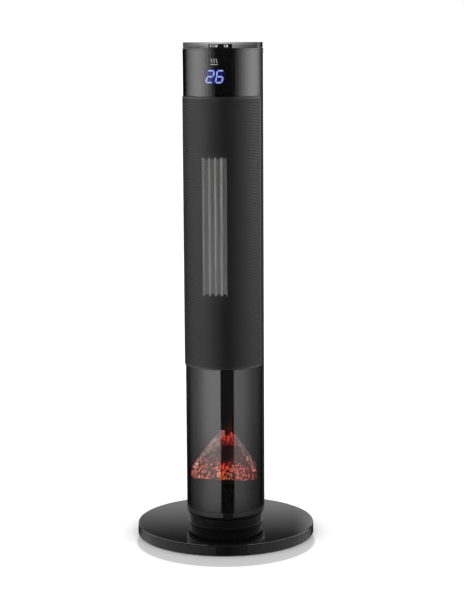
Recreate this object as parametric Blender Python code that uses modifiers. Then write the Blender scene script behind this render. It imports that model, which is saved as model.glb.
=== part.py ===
"""Tower room heater: ceramic heating core, flame-effect window, swing base and push keys.

The origin is on the tower's axis at the floor. +Z is up and the front faces -Y.
All lengths are in metres. Plan angles are measured from the front, towards +X.
"""

import math

import bmesh
import bpy
from mathutils import Matrix

# ---------------------------------------------------------------- driving dimensions
GAP = 0.0003                  # play between pieces that touch
ARC_STEP = math.radians(5)    # facet angle of round work

# Base and neck
BASE_RADIUS = 0.150
BASE_THICKNESS = 0.0170       # from the underside to the top face
BASE_WALL = 0.0025
BASE_EDGE = 0.0015            # edge round
COVER_THICKNESS = 0.0020
FOOT_HEIGHT = 0.0012
FOOT_RADIUS = 0.0090
FOOT_INSET = 0.0220           # from the disc's rim to a foot's centre
NECK_INSET = 0.0048           # neck radius below the tower radius
NECK_HEIGHT = 0.0163
NECK_LIP = 0.0016             # how far the lower lip stands out
NECK_LIP_HEIGHT = 0.0025
NECK_WALL = 0.0030
WEB_THICKNESS = 0.0030        # neck top plate
FLANGE_WIDTH = 0.0220         # neck foot flange that the screws hold
COVER_HOLE = 0.0240           # way to the swing nut, through the bottom cover
SCREW_RADIUS = 0.0016
SCREW_HEAD_RADIUS = 0.0034
SCREW_HEAD_HEIGHT = 0.0020
SCREW_PLAY = 0.0002

# Swing drive
SWING_PLAY = 0.0008           # between the neck and the turning tower
SPIGOT_RADIUS = 0.0135
NUT_HEIGHT = 0.0046
NUT_SPAN = 0.0200             # corner radius of the hexagonal nut
BEARING_INSET = 0.0070        # bearing ring below the neck radius
BEARING_WIDTH = 0.0045
GEAR_MODULE = 0.001
SUN_TEETH = 48
PINION_TEETH = 12
GEAR_HEIGHT = 0.0042
TOOTH_BACKLASH = 0.00016      # taken off each flank
SECTOR_HALF_ANGLE = math.radians(52)
STUB_RADIUS = 0.0028
SWING_MOTOR_RADIUS = 0.0205
SWING_MOTOR_HEIGHT = 0.0160

# Tower levels, from the neck up
TOWER_RADIUS = 0.0664
WALL = 0.0022
RING_HEIGHT = 0.0137
RING_FLOOR = 0.0030
RING_CHAMFER = 0.0057         # height of the ring's chamfered foot
RING_CHAMFER_IN = 0.0016      # how far the chamfer has come in at its bend
RING_CHAMFER_BEND = 0.0022    # height of the bend above the ring's lower edge
FLOOR_LIFT = 0.0067           # floor above the ring's lower edge
WINDOW_HEIGHT = 0.2437
GRILLE_HEIGHT = 0.4489
HEAD_HEIGHT = 0.0747
JOINT_LINE = 0.0007           # visible line between the front panels
DECK_THICKNESS = 0.0022
CAP_HEIGHT = 0.0092
CAP_INSET = 0.0008

# Front panels
PANEL_THICKNESS = 0.0020
WINDOW_INSET = 0.0006
FRAME_THICKNESS = 0.0022
GRILLE_THICKNESS = 0.0010
GRILLE_PROUD = 0.0012
SPLIT_ANGLE = math.radians(88)
PANEL_ANGLE = math.radians(83)
GRILLE_ANGLE = math.radians(77)
PANEL_SIDE_GAP = math.radians(0.4)

# Heating core and its outlet
OUTLET_X = -0.0045            # the outlet sits off centre, as on any cross-flow duct
OUTLET_LIFT = 0.0110          # outlet centre above the middle of the grille
OUTLET_HEIGHT = 0.249
RECESS_BORDER = 0.0040        # step around the outlet
RECESS_DEPTH = 0.0008
BAR_PITCH = 0.0101
BAR_COUNT = 5
BAR_THICKNESS = 0.0022
BAR_DEPTH = 0.0100
BAR_OVERHANG = 0.0030         # bar ends beyond the fins
CORE_HEIGHT = 0.229
FIN_SETBACK = 0.0008
RAIL_WIDTH = 0.0040
CORE_DEPTH = 0.0120
CUTOUT_RADIUS = 0.0075
CUTOUT_DEPTH = 0.0060

# Fan and duct
FAN_RADIUS = 0.0275
FAN_TO_HEATER = 0.0100
FAN_PLAY = 0.0030             # wheel to duct wall and end plates
FAN_DISC = 0.0018
BLADE_COUNT = 16
BLADE_LENGTH = 0.0085
BLADE_THICKNESS = 0.0011
BLADE_INSET = 0.0006          # blade edges inside the discs' rims
BLADE_LEAD = math.radians(14) # how far a blade's outer edge leads its inner edge
FAN_OFFSET = 0.0040           # wheel to the right of the outlet's middle
SCROLL_SWEEP = math.radians(105)
SCROLL_STEPS = 16
TONGUE_ANGLE = math.radians(68)
TONGUE_SWEEP = math.radians(22)
DUCT_WALL = 0.0016
PLATE_THICKNESS = 0.0025
SHAFT_RADIUS = 0.0025
RUNNING_PLAY = 0.0001
FAN_MOTOR_RADIUS = 0.0250
FAN_MOTOR_HEIGHT = 0.0420
BEARING_RADIUS = 0.0080
BEARING_HEIGHT = 0.0080

# Flame chamber
TRAY_LIFT = 0.0492            # ember deck's top above the window's lower edge
CHAMBER_TOP_DROP = 0.0080     # chamber ceiling below the window's upper edge
CHAMBER_ANGLE = math.radians(70)
SCREEN_Y = 0.0020
SCREEN_THICKNESS = 0.0020
HEAP_HEIGHT = 0.0680
HEAP_RIM = 0.0060
LOG_RADIUS = 0.0065
LOG_ANGLE = math.radians(50)
LOG_TOP_REACH = 0.0070
LOG_TOE = 0.0120
ROTOR_RADIUS = 0.0120
ROTOR_PLAY = 0.0040
ROTOR_BLADES = 8
ROTOR_SHAFT = 0.0015
ROTOR_TIP = 0.06              # half the plan angle of a blade's tip, in radians
ROTOR_ROOT = 0.0027           # radius between two blades
LUG_THICKNESS = 0.0030
ROTOR_MOTOR_LENGTH = 0.0145
ROTOR_MOTOR_SIZE = 0.0260
LED_BOARD = (0.0600, 0.0160, 0.0016)

# Head
DISPLAY_SIZE = (0.0340, 0.0080, 0.0240)
DISPLAY_DROP = 0.0427         # display centre below the head panel's top
DISPLAY_BOARD = (0.0500, 0.0016, 0.0520)
CONTROL_BOARD = (0.0700, 0.0016, 0.0560)
CONTROL_BOARD_Y = 0.0120
RELAY_SIZE = (0.0190, 0.0155, 0.0150)

# Keys in the riser of the raised cap
RISER_Y = -0.0210
BEZEL_THICKNESS = 0.0015
SLOT_WIDTH = 0.0396
SLOT_HEIGHT = 0.0064
GUIDE_SETBACK = 0.0012
GUIDE_DEPTH = 0.0080
GUIDE_RIM = 0.0005
KEY_HEIGHT = 0.0046
KEY_PLAY = 0.0002
KEY_TRAVEL = 0.0012
KEY_FLANGE = 0.0010
POWER_KEY = (-0.0108, 0.0130)   # centre along X, width
MODE_KEY = (0.0095, 0.0065)
IR_LENS = (0.0160, 0.0050)
SWITCH_DEPTH = 0.0030

# Rear
INLET_ANGLE = math.radians(50)
INLET_HEIGHT = 0.250
SLOT_TIERS = 3
SLOT_COLUMNS = 17
SLOT_OPENING = math.radians(2.8)
SLOT_BAR = 0.0090             # solid bar between two tiers of slots
GLAND_LIFT = 0.0257           # cord gland above the tower shells' lower edge
GLAND_BORE = 0.0042
GLAND_RADIUS = 0.0066
GLAND_FLANGE = 0.0088
GLAND_FLANGE_THICKNESS = 0.0020
GLAND_EDGE = 0.0006           # chamfer of the gland's flange
ROCKER_LIFT = 0.0800          # rocker switch above the tower shells' lower edge
SWITCH_FLANGE = (0.0210, 0.0012, 0.0280)
SWITCH_BODY = (0.0185, 0.0170, 0.0240)
ROCKER_SIZE = (0.0140, 0.0180)
ROCKER_TILT = math.radians(9)
ROCKER_POCKET = 0.0080
ROCKER_SINK = 0.0008          # pivot below the housing's face
ROCKER_CROWN = 0.0009         # rocker's face above the pivot
ROCKER_EDGE = 0.0005          # depth of the rocker's ends
ROCKER_KEEL = 0.0050          # depth of the rocker's middle
ROCKER_KEEL_HALF = 0.0022     # half the keel's width
TILT_SWITCH = (0.0180, 0.0140, 0.0200)

# ---------------------------------------------------------------- levels and radii that follow
BASE_LOW = FOOT_HEIGHT + GAP
BASE_TOP = BASE_LOW + BASE_THICKNESS - GAP
NECK_LOW = BASE_TOP + GAP
NECK_TOP = BASE_TOP + NECK_HEIGHT
RING_LOW = NECK_TOP + SWING_PLAY
RING_TOP = RING_LOW + RING_HEIGHT
FLOOR_LOW = RING_LOW + FLOOR_LIFT
FLOOR_TOP = FLOOR_LOW + RING_FLOOR
SHELL_LOW = RING_TOP + GAP
WINDOW_HIGH = SHELL_LOW + WINDOW_HEIGHT
GRILLE_LOW = WINDOW_HIGH + JOINT_LINE
GRILLE_HIGH = GRILLE_LOW + GRILLE_HEIGHT
HEAD_LOW = GRILLE_HIGH + JOINT_LINE
HEAD_HIGH = HEAD_LOW + HEAD_HEIGHT
DECK_LOW = HEAD_HIGH + GAP
DECK_TOP = DECK_LOW + DECK_THICKNESS
CAP_LOW = DECK_TOP + GAP
CAP_TOP = CAP_LOW + CAP_HEIGHT

WINDOW_RADIUS = TOWER_RADIUS - WINDOW_INSET
FRAME_OUTER = WINDOW_RADIUS - PANEL_THICKNESS - GAP
FRAME_INNER = FRAME_OUTER - FRAME_THICKNESS
PLATE_RADIUS = FRAME_INNER - GAP
HOUSING_INNER = TOWER_RADIUS - WALL
CAP_RADIUS = TOWER_RADIUS - CAP_INSET
NECK_RADIUS = TOWER_RADIUS - NECK_INSET
FLANGE_INNER = NECK_RADIUS - FLANGE_WIDTH
SCREW_CIRCLE = NECK_RADIUS - NECK_WALL - FLANGE_WIDTH / 3
SUN_RADIUS = GEAR_MODULE * SUN_TEETH / 2
PINION_RADIUS = GEAR_MODULE * PINION_TEETH / 2
GEAR_CENTRES = SUN_RADIUS + PINION_RADIUS

TRAY_TOP = SHELL_LOW + TRAY_LIFT
TRAY_LOW = TRAY_TOP - PLATE_THICKNESS
LID_LOW = WINDOW_HIGH - CHAMBER_TOP_DROP
OUTLET_Z = (GRILLE_LOW + GRILLE_HIGH) / 2 + OUTLET_LIFT
OUTLET_LOW = OUTLET_Z - OUTLET_HEIGHT / 2
OUTLET_HIGH = OUTLET_Z + OUTLET_HEIGHT / 2
CORE_WIDTH = BAR_PITCH * (BAR_COUNT - 1) + BAR_THICKNESS
PTC_WIDTH = CORE_WIDTH + 2 * (GAP + RAIL_WIDTH)


def half_chord(radius, distance):
    """Half the chord of a circle at a distance from its centre."""
    return math.sqrt(radius * radius - distance * distance)


PTC_FRONT = -half_chord(PLATE_RADIUS, abs(OUTLET_X) + PTC_WIDTH / 2)
PTC_BACK = PTC_FRONT + CORE_DEPTH
FAN_CENTRE = (OUTLET_X + FAN_OFFSET, PTC_BACK + FAN_TO_HEATER + FAN_RADIUS)
DISPLAY_FRONT = -half_chord(FRAME_OUTER, DISPLAY_SIZE[0] / 2) + GAP
DISPLAY_Z = HEAD_HIGH - DISPLAY_DROP
HEAD_PLATE_LOW = HEAD_LOW + JOINT_LINE
HEAD_PLATE_TOP = HEAD_PLATE_LOW + PLATE_THICKNESS

# ---------------------------------------------------------------- finishes: colour, roughness, metallic
GLOSS_BLACK = ((0.012, 0.012, 0.013), 0.12, 0.0)
SATIN_BLACK = ((0.020, 0.020, 0.021), 0.45, 0.0)
SATIN_GREY = ((0.085, 0.085, 0.088), 0.38, 0.0)
SMOKED = ((0.030, 0.030, 0.032), 0.05, 0.0)
MESH_GREY = ((0.070, 0.070, 0.072), 0.42, 0.6)
BRUSHED_TRIM = ((0.420, 0.420, 0.430), 0.30, 0.9)
SILVER = ((0.800, 0.800, 0.810), 0.22, 0.9)
BARE_STEEL = ((0.520, 0.520, 0.530), 0.35, 1.0)
ALUMINIUM = ((0.720, 0.720, 0.730), 0.32, 1.0)
RUBBER = ((0.018, 0.018, 0.018), 0.85, 0.0)
WHITE_ACETAL = ((0.780, 0.770, 0.740), 0.40, 0.0)
HEATPROOF = ((0.700, 0.680, 0.620), 0.60, 0.0)
CIRCUIT_GREEN = ((0.020, 0.120, 0.050), 0.50, 0.0)
DISPLAY_GLASS = ((0.010, 0.014, 0.040), 0.20, 0.0)
DIFFUSER = ((0.600, 0.560, 0.520), 0.55, 0.0)
EMBER = ((0.420, 0.080, 0.020), 0.75, 0.0)
BARK = ((0.160, 0.095, 0.070), 0.85, 0.0)
RELAY_BLUE = ((0.050, 0.120, 0.350), 0.45, 0.0)


# ---------------------------------------------------------------- shape tools
def clear_scene():
    """Remove every object that the file starts with."""
    for item in list(bpy.data.objects):
        bpy.data.objects.remove(item, do_unlink=True)


def new_collection(name):
    """Make a collection under the scene."""
    made = bpy.data.collections.new(name)
    bpy.context.scene.collection.children.link(made)
    return made


def finish_material(name, finish):
    """Make a Principled material from a colour, a roughness and a metallic value."""
    colour, roughness, metallic = finish
    made = bpy.data.materials.new(name)
    made.use_nodes = True
    shader = made.node_tree.nodes["Principled BSDF"]
    shader.inputs["Base Color"].default_value = (*colour, 1.0)
    shader.inputs["Roughness"].default_value = roughness
    shader.inputs["Metallic"].default_value = metallic
    made.diffuse_color = (*colour, 1.0)
    return made


def add(name, mesh, finish, location=(0, 0, 0), parent=None):
    """Put a mesh in the parts collection with its own material."""
    piece = bpy.data.objects.new(name, mesh)
    PARTS.objects.link(piece)
    mesh.materials.clear()
    mesh.materials.append(finish_material(name, finish))
    piece.location = location
    piece.parent = parent
    return piece


def add_cutter(name, mesh, location=(0, 0, 0), turn=None):
    """Put a mesh in the cutters collection, as a wire guide."""
    cutter = bpy.data.objects.new(name, mesh)
    CUTTERS.objects.link(cutter)
    cutter.location = location
    if turn is not None:
        cutter.rotation_euler = turn
    cutter.hide_render = True
    cutter.display_type = "WIRE"
    return cutter


def combine(piece, cutter, operation):
    """Stack an exact Boolean on a piece."""
    step = piece.modifiers.new(f"{operation.lower()}_{cutter.name}", "BOOLEAN")
    step.operation = operation
    step.solver = "EXACT"
    step.object = cutter
    return step


def cut(piece, cutter):
    """Take the cutter's volume out of a piece."""
    return combine(piece, cutter, "DIFFERENCE")


def fuse(piece, cutter):
    """Join the guide's volume to a piece."""
    return combine(piece, cutter, "UNION")


def keep(piece, cutter):
    """Keep only what lies inside the guide's volume."""
    return combine(piece, cutter, "INTERSECT")


def round_edges(piece, width, segments=2, limit=math.radians(40)):
    """Bevel the sharp edges of a piece."""
    step = piece.modifiers.new("edge_round", "BEVEL")
    step.width = width
    step.segments = segments
    step.limit_method = "ANGLE"
    step.angle_limit = limit
    return step


def box_mesh(name, size, centre=(0, 0, 0)):
    """A closed box of a given size around a centre."""
    mesh = bpy.data.meshes.new(name)
    shape = bmesh.new()
    place = Matrix.Translation(centre) @ Matrix.Diagonal((*size, 1.0))
    bmesh.ops.create_cube(shape, size=1.0, matrix=place)
    shape.to_mesh(mesh)
    shape.free()
    return mesh


def span_mesh(name, low, high):
    """A closed box between two opposite corners."""
    size = [b - a for a, b in zip(low, high)]
    centre = [(a + b) / 2 for a, b in zip(low, high)]
    return box_mesh(name, size, centre)


def rod_mesh(name, radius, length, sides=24, end_radius=None):
    """A closed round bar along Z around its own centre."""
    mesh = bpy.data.meshes.new(name)
    shape = bmesh.new()
    top = radius if end_radius is None else end_radius
    bmesh.ops.create_cone(shape, cap_ends=True, segments=sides, radius1=radius, radius2=top, depth=length)
    shape.to_mesh(mesh)
    shape.free()
    return mesh


def turned(name, profile, finish, steps=48, parent=None, location=(0, 0, 0)):
    """Turn a closed profile of (radius, height) points about Z, outer side first and downwards."""
    mesh = bpy.data.meshes.new(name)
    count = len(profile)
    edges = [(i, (i + 1) % count) for i in range(count)]
    mesh.from_pydata([(r, 0.0, z) for r, z in profile], edges, [])
    piece = add(name, mesh, finish, location, parent)
    spin = piece.modifiers.new("turn", "SCREW")
    spin.steps = steps
    spin.render_steps = steps
    spin.use_merge_vertices = True
    spin.merge_threshold = 0.00001
    spin.use_smooth_shade = True
    return piece


def plan(radius, angle):
    """A plan point at a radius and an angle from the front towards +X."""
    return (radius * math.sin(angle), -radius * math.cos(angle))


def arc(radius, start, end, centre=(0.0, 0.0)):
    """Plan points of an arc, one for each facet angle."""
    count = max(1, math.ceil(abs(end - start) / ARC_STEP - 1e-6))
    turn = [start + (end - start) * i / count for i in range(count + 1)]
    return [(centre[0] + plan(radius, a)[0], centre[1] + plan(radius, a)[1]) for a in turn]


def circle(radius, centre=(0.0, 0.0), sides=48):
    """Plan points of a full circle."""
    turn = [2 * math.pi * i / sides for i in range(sides)]
    return [(centre[0] + plan(radius, a)[0], centre[1] + plan(radius, a)[1]) for a in turn]


def band(inner, outer, start, end):
    """Plan outline of a curved wall between two radii."""
    return arc(outer, start, end) + arc(inner, end, start)


def segment(radius, chord_y, rear=True):
    """Plan outline of the part of a disc behind, or in front of, a chord across Y."""
    corner = math.acos(-chord_y / radius)
    if rear:
        return arc(radius, corner, 2 * math.pi - corner)
    return arc(radius, -corner, corner)


def extruded_mesh(name, outlines, low, high):
    """A flat plate from plan outlines, the first outside and the rest holes, between two heights."""
    curve = bpy.data.curves.new(name, "CURVE")
    curve.dimensions = "2D"
    curve.fill_mode = "BOTH"
    curve.extrude = (high - low) / 2
    for outline in outlines:
        spline = curve.splines.new("POLY")
        spline.points.add(len(outline) - 1)
        for point, (x, y) in zip(spline.points, outline):
            point.co = (x, y, 0.0, 1.0)
        spline.use_cyclic_u = True
    guide = bpy.data.objects.new(name, curve)
    bpy.context.scene.collection.objects.link(guide)
    evaluated = guide.evaluated_get(bpy.context.evaluated_depsgraph_get())
    mesh = bpy.data.meshes.new_from_object(evaluated)
    bpy.data.objects.remove(guide, do_unlink=True)
    shape = bmesh.new()
    shape.from_mesh(mesh)
    bmesh.ops.remove_doubles(shape, verts=shape.verts, dist=0.000005)
    bmesh.ops.recalc_face_normals(shape, faces=shape.faces)
    bmesh.ops.translate(shape, verts=shape.verts, vec=(0, 0, (low + high) / 2))
    shape.to_mesh(mesh)
    shape.free()
    mesh.name = name
    return mesh


def plate(name, outlines, low, high, finish, parent=None, location=(0, 0, 0)):
    """A flat or curved wall of constant plan outline."""
    return add(name, extruded_mesh(name, outlines, low, high), finish, location, parent)


def repeat_up(cutter, count, pitch):
    """Repeat a guide upwards."""
    rows = cutter.modifiers.new("rows", "ARRAY")
    rows.count = count
    rows.use_relative_offset = False
    rows.use_constant_offset = True
    rows.constant_offset_displace = (0.0, 0.0, pitch)
    return rows


def strip_outline(points, thickness):
    """Outline of a bent sheet whose middle line runs through the points."""
    sides = ([], [])
    last = len(points) - 1
    for i, (x, y) in enumerate(points):
        ahead = points[min(i + 1, last)]
        behind = points[max(i - 1, 0)]
        dx, dy = ahead[0] - behind[0], ahead[1] - behind[1]
        length = math.hypot(dx, dy)
        nx, ny = -dy / length * thickness / 2, dx / length * thickness / 2
        sides[0].append((x + nx, y + ny))
        sides[1].append((x - nx, y - ny))
    return sides[0] + sides[1][::-1]


# ---------------------------------------------------------------- base and neck
def base_profile():
    """Closed profile of the hollow base disc, open below."""
    rim = [
        (BASE_RADIUS - BASE_EDGE * (1 - math.sin(a)), BASE_TOP - BASE_EDGE * (1 - math.cos(a)))
        for a in (math.radians(t) for t in (0, 45, 90))
    ]
    under = [
        (BASE_RADIUS, BASE_LOW),
        (BASE_RADIUS - BASE_WALL, BASE_LOW),
        (BASE_RADIUS - BASE_WALL, BASE_TOP - BASE_WALL),
        (FLANGE_INNER, BASE_TOP - BASE_WALL),
        (FLANGE_INNER, BASE_TOP),
    ]
    return rim + under


def screw_places():
    """Plan points of the four screws that hold the neck."""
    return [plan(SCREW_CIRCLE, math.radians(a)) for a in (-45, 45, 135, 225)]


def build_base():
    """Two half discs, the cover under them, the feet and the neck screws."""
    halves = (("base_front_half", -1), ("base_rear_half", 1))
    reach = BASE_RADIUS * 2
    hole = SCREW_RADIUS + SCREW_PLAY
    for name, side in halves:
        piece = turned(name, base_profile(), GLOSS_BLACK, steps=72)
        near, far = side * GAP / 2, side * reach
        low = (-reach, min(near, far), -reach)
        high = (reach, max(near, far), reach)
        keep(piece, add_cutter(name + "_side", span_mesh(name + "_side", low, high)))
        for i, (x, y) in enumerate(screw_places()):
            if y * side > 0:
                drill = rod_mesh("hole", hole, BASE_THICKNESS * 3)
                cut(piece, add_cutter(f"{name}_hole_{i}", drill, (x, y, BASE_TOP)))
    cover_radius = BASE_RADIUS - BASE_WALL - GAP
    rings = [circle(cover_radius, sides=72), circle(COVER_HOLE, sides=36)]
    plate("base_bottom_cover", rings, BASE_LOW, BASE_LOW + COVER_THICKNESS, SATIN_BLACK)
    for name, angle in (("front_left", -45), ("front_right", 45), ("rear_right", 135), ("rear_left", 225)):
        x, y = plan(BASE_RADIUS - FOOT_INSET, math.radians(angle))
        foot = rod_mesh("foot_" + name, FOOT_RADIUS, FOOT_HEIGHT)
        add("foot_" + name, foot, RUBBER, (x, y, FOOT_HEIGHT / 2))
    shank_low = BASE_TOP - BASE_WALL - GAP
    shank_high = NECK_LOW + NECK_LIP_HEIGHT + WEB_THICKNESS
    for i, (x, y) in enumerate(screw_places()):
        name = f"base_screw_{i + 1}"
        head_low = shank_low - SCREW_HEAD_HEIGHT
        profile = [
            (0.0, shank_high),
            (SCREW_RADIUS, shank_high),
            (SCREW_RADIUS, shank_low),
            (SCREW_HEAD_RADIUS, shank_low),
            (SCREW_HEAD_RADIUS, head_low),
            (0.0, head_low),
        ]
        open_turned(name, profile, BARE_STEEL, steps=16, location=(x, y, 0))


def open_turned(name, profile, finish, steps=32, parent=None, location=(0, 0, 0)):
    """Turn a profile whose two ends lie on the axis, top end first."""
    mesh = bpy.data.meshes.new(name)
    edges = [(i, i + 1) for i in range(len(profile) - 1)]
    mesh.from_pydata([(r, 0.0, z) for r, z in profile], edges, [])
    piece = add(name, mesh, finish, location, parent)
    spin = piece.modifiers.new("turn", "SCREW")
    spin.steps = steps
    spin.render_steps = steps
    spin.use_merge_vertices = True
    spin.merge_threshold = 0.00001
    spin.use_smooth_shade = True
    return piece


def build_neck():
    """The fixed collar that the tower turns on."""
    flange_top = NECK_LOW + NECK_LIP_HEIGHT + WEB_THICKNESS + GAP
    inner = NECK_RADIUS - NECK_WALL
    bore = SPIGOT_RADIUS + GAP
    lip_top = NECK_LOW + NECK_LIP_HEIGHT
    profile = [
        (NECK_RADIUS, NECK_TOP),
        (NECK_RADIUS, lip_top),
        (NECK_RADIUS + NECK_LIP, lip_top - NECK_LIP / 2),
        (NECK_RADIUS + NECK_LIP, NECK_LOW),
        (FLANGE_INNER, NECK_LOW),
        (FLANGE_INNER, flange_top),
        (inner, flange_top),
        (inner, NECK_TOP - WEB_THICKNESS),
        (bore, NECK_TOP - WEB_THICKNESS),
        (bore, NECK_TOP),
    ]
    neck = turned("neck", profile, SATIN_GREY)
    for i, (x, y) in enumerate(screw_places()):
        drill = rod_mesh("pilot", SCREW_RADIUS + SCREW_PLAY / 2, NECK_HEIGHT)
        cut(neck, add_cutter(f"neck_pilot_{i}", drill, (x, y, NECK_LOW)))
    outer = NECK_RADIUS - BEARING_INSET
    ring = [circle(outer), circle(outer - BEARING_WIDTH)]
    plate("bearing_ring", ring, NECK_TOP + GAP, FLOOR_LOW - GAP, WHITE_ACETAL)


# ---------------------------------------------------------------- swing drive
def involute(angle):
    """The involute function of a pressure angle."""
    return math.tan(angle) - angle


def tooth_flank(teeth, addendum, dedendum):
    """Radii and half angles of one tooth flank, from root to tip."""
    pitch_radius = GEAR_MODULE * teeth / 2
    pressure = math.radians(20)
    base_radius = pitch_radius * math.cos(pressure)
    root = pitch_radius - dedendum
    tip = pitch_radius + addendum
    radii = [root, max(root, base_radius), pitch_radius, (pitch_radius + tip) / 2, tip]
    flank = []
    for radius in radii:
        lean = math.acos(min(1.0, base_radius / radius)) if radius > base_radius else 0.0
        half = math.pi / (2 * teeth) + involute(pressure) - involute(lean) - TOOTH_BACKLASH / radius
        flank.append((radius, half))
    return flank


def gear_outline(teeth, first_centre, addendum, dedendum, allowed=None):
    """Plan outline of a spur gear; teeth outside the allowed half angle of the rear are left plain."""
    outline = []
    flank = tooth_flank(teeth, addendum, dedendum)
    root = flank[0][0]
    for i in range(teeth):
        centre = first_centre + 2 * math.pi * i / teeth
        off_rear = abs((centre - math.pi + math.pi) % (2 * math.pi) - math.pi)
        if allowed is not None and off_rear > allowed:
            outline.append(plan(root, centre))
            continue
        outline += [plan(radius, centre - half) for radius, half in flank]
        outline += [plan(radius, centre + half) for radius, half in flank[::-1]]
    return outline


def build_swing_drive():
    """The fixed sector, the pinion that walks round it, and the motor on the tower floor."""
    gear_low = NECK_TOP + GAP
    sun = gear_outline(SUN_TEETH, math.pi, GEAR_MODULE * 0.8, GEAR_MODULE * 1.25, SECTOR_HALF_ANGLE)
    rings = [sun, circle(SPIGOT_RADIUS + SWING_PLAY, sides=36)]
    plate("sector_gear", rings, gear_low, gear_low + GEAR_HEIGHT, WHITE_ACETAL)

    place = (0.0, GEAR_CENTRES, 0.0)
    half_tooth = math.pi / PINION_TEETH
    outline = gear_outline(PINION_TEETH, half_tooth, GEAR_MODULE * 0.9, GEAR_MODULE * 1.1)
    mesh = extruded_mesh("swing_pinion", [outline], gear_low + GAP, gear_low + GEAR_HEIGHT)
    pinion = add("swing_pinion", mesh, WHITE_ACETAL, place, TOWER)
    stub_low = gear_low + GEAR_HEIGHT / 2
    stub_high = FLOOR_TOP
    stub = rod_mesh("pinion_stub", STUB_RADIUS, stub_high - stub_low)
    fuse(pinion, add_cutter("pinion_stub", stub, (0.0, GEAR_CENTRES, (stub_low + stub_high) / 2)))

    motor = rod_mesh("swing_motor", SWING_MOTOR_RADIUS, SWING_MOTOR_HEIGHT, sides=32)
    height = FLOOR_TOP + GAP + SWING_MOTOR_HEIGHT / 2
    body = add("swing_motor", motor, BARE_STEEL, (0.0, GEAR_CENTRES, height), TOWER)
    round_edges(body, 0.0012, segments=1)


# ---------------------------------------------------------------- tower shells
def build_ring():
    """The tower's lower ring with its floor and solid spigot, and the nut that holds it down."""
    skirt = NECK_RADIUS - NECK_WALL / 2
    spigot_low = NECK_TOP - WEB_THICKNESS - GAP - NUT_HEIGHT
    profile = [
        (0.0, FLOOR_TOP),
        (HOUSING_INNER, FLOOR_TOP),
        (HOUSING_INNER, RING_TOP),
        (TOWER_RADIUS, RING_TOP),
        (TOWER_RADIUS, RING_LOW + RING_CHAMFER),
        (TOWER_RADIUS - RING_CHAMFER_IN, RING_LOW + RING_CHAMFER_BEND),
        (NECK_RADIUS + SWING_PLAY, RING_LOW),
        (skirt, RING_LOW),
        (skirt, FLOOR_LOW),
        (SPIGOT_RADIUS, FLOOR_LOW),
        (SPIGOT_RADIUS, spigot_low),
        (0.0, spigot_low),
    ]
    ring = open_turned("tower_base_ring", profile, SATIN_GREY, steps=48, parent=TOWER)
    hole = rod_mesh("shaft_hole", STUB_RADIUS + SWING_PLAY, RING_FLOOR * 3)
    cut(ring, add_cutter("shaft_hole", hole, (0.0, GEAR_CENTRES, FLOOR_LOW)))

    rings = [circle(NUT_SPAN, sides=6), circle(SPIGOT_RADIUS + GAP, sides=36)]
    plate("spigot_nut", rings, spigot_low, spigot_low + NUT_HEIGHT, WHITE_ACETAL, parent=TOWER)


def build_front_frame():
    """The half shell that carries the front panels, with its three window openings."""
    outline = band(FRAME_INNER, TOWER_RADIUS, -SPLIT_ANGLE, SPLIT_ANGLE)
    frame = plate("front_frame", [outline], SHELL_LOW, HEAD_HIGH, SATIN_BLACK, parent=TOWER)
    beyond = TOWER_RADIUS * 1.3
    seats = (
        ("head_seat", PANEL_ANGLE + PANEL_SIDE_GAP, HEAD_LOW - GAP, HEAD_HIGH + WALL),
        ("window_seat", PANEL_ANGLE + PANEL_SIDE_GAP, SHELL_LOW - WALL, WINDOW_HIGH + GAP),
        ("grille_seat", GRILLE_ANGLE + PANEL_SIDE_GAP, WINDOW_HIGH, HEAD_LOW),
    )
    for name, half_angle, low, high in seats:
        seat = extruded_mesh(name, [band(FRAME_OUTER, beyond, -half_angle, half_angle)], low, high)
        cut(frame, add_cutter(name, seat))
    opening_low = (OUTLET_X - CORE_WIDTH / 2 - GAP, -beyond, OUTLET_LOW)
    opening_high = (OUTLET_X + CORE_WIDTH / 2 + GAP, -FRAME_INNER / 2, OUTLET_HIGH)
    left = math.asin((opening_low[0] - RECESS_BORDER) / FRAME_OUTER)
    right = math.asin((opening_high[0] + RECESS_BORDER) / FRAME_OUTER)
    step = band(FRAME_OUTER - RECESS_DEPTH, beyond, left, right)
    recess_border = RECESS_BORDER * 2.5
    recess = extruded_mesh("outlet_recess", [step], OUTLET_LOW - recess_border, OUTLET_HIGH + recess_border)
    cut(frame, add_cutter("outlet_recess", recess))
    cut(frame, add_cutter("outlet_opening", span_mesh("outlet_opening", opening_low, opening_high)))
    glow = band(FRAME_INNER / 2, beyond, -CHAMBER_ANGLE, CHAMBER_ANGLE)
    cut(frame, add_cutter("flame_opening", extruded_mesh("flame_opening", [glow], TRAY_TOP + GAP, LID_LOW)))
    half_width = DISPLAY_SIZE[0] / 2 + GAP
    half_height = DISPLAY_SIZE[2] / 2 + GAP
    low = (-half_width, -beyond, DISPLAY_Z - half_height)
    high = (half_width, -FRAME_INNER / 2, DISPLAY_Z + half_height)
    cut(frame, add_cutter("display_opening", span_mesh("display_opening", low, high)))


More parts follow.
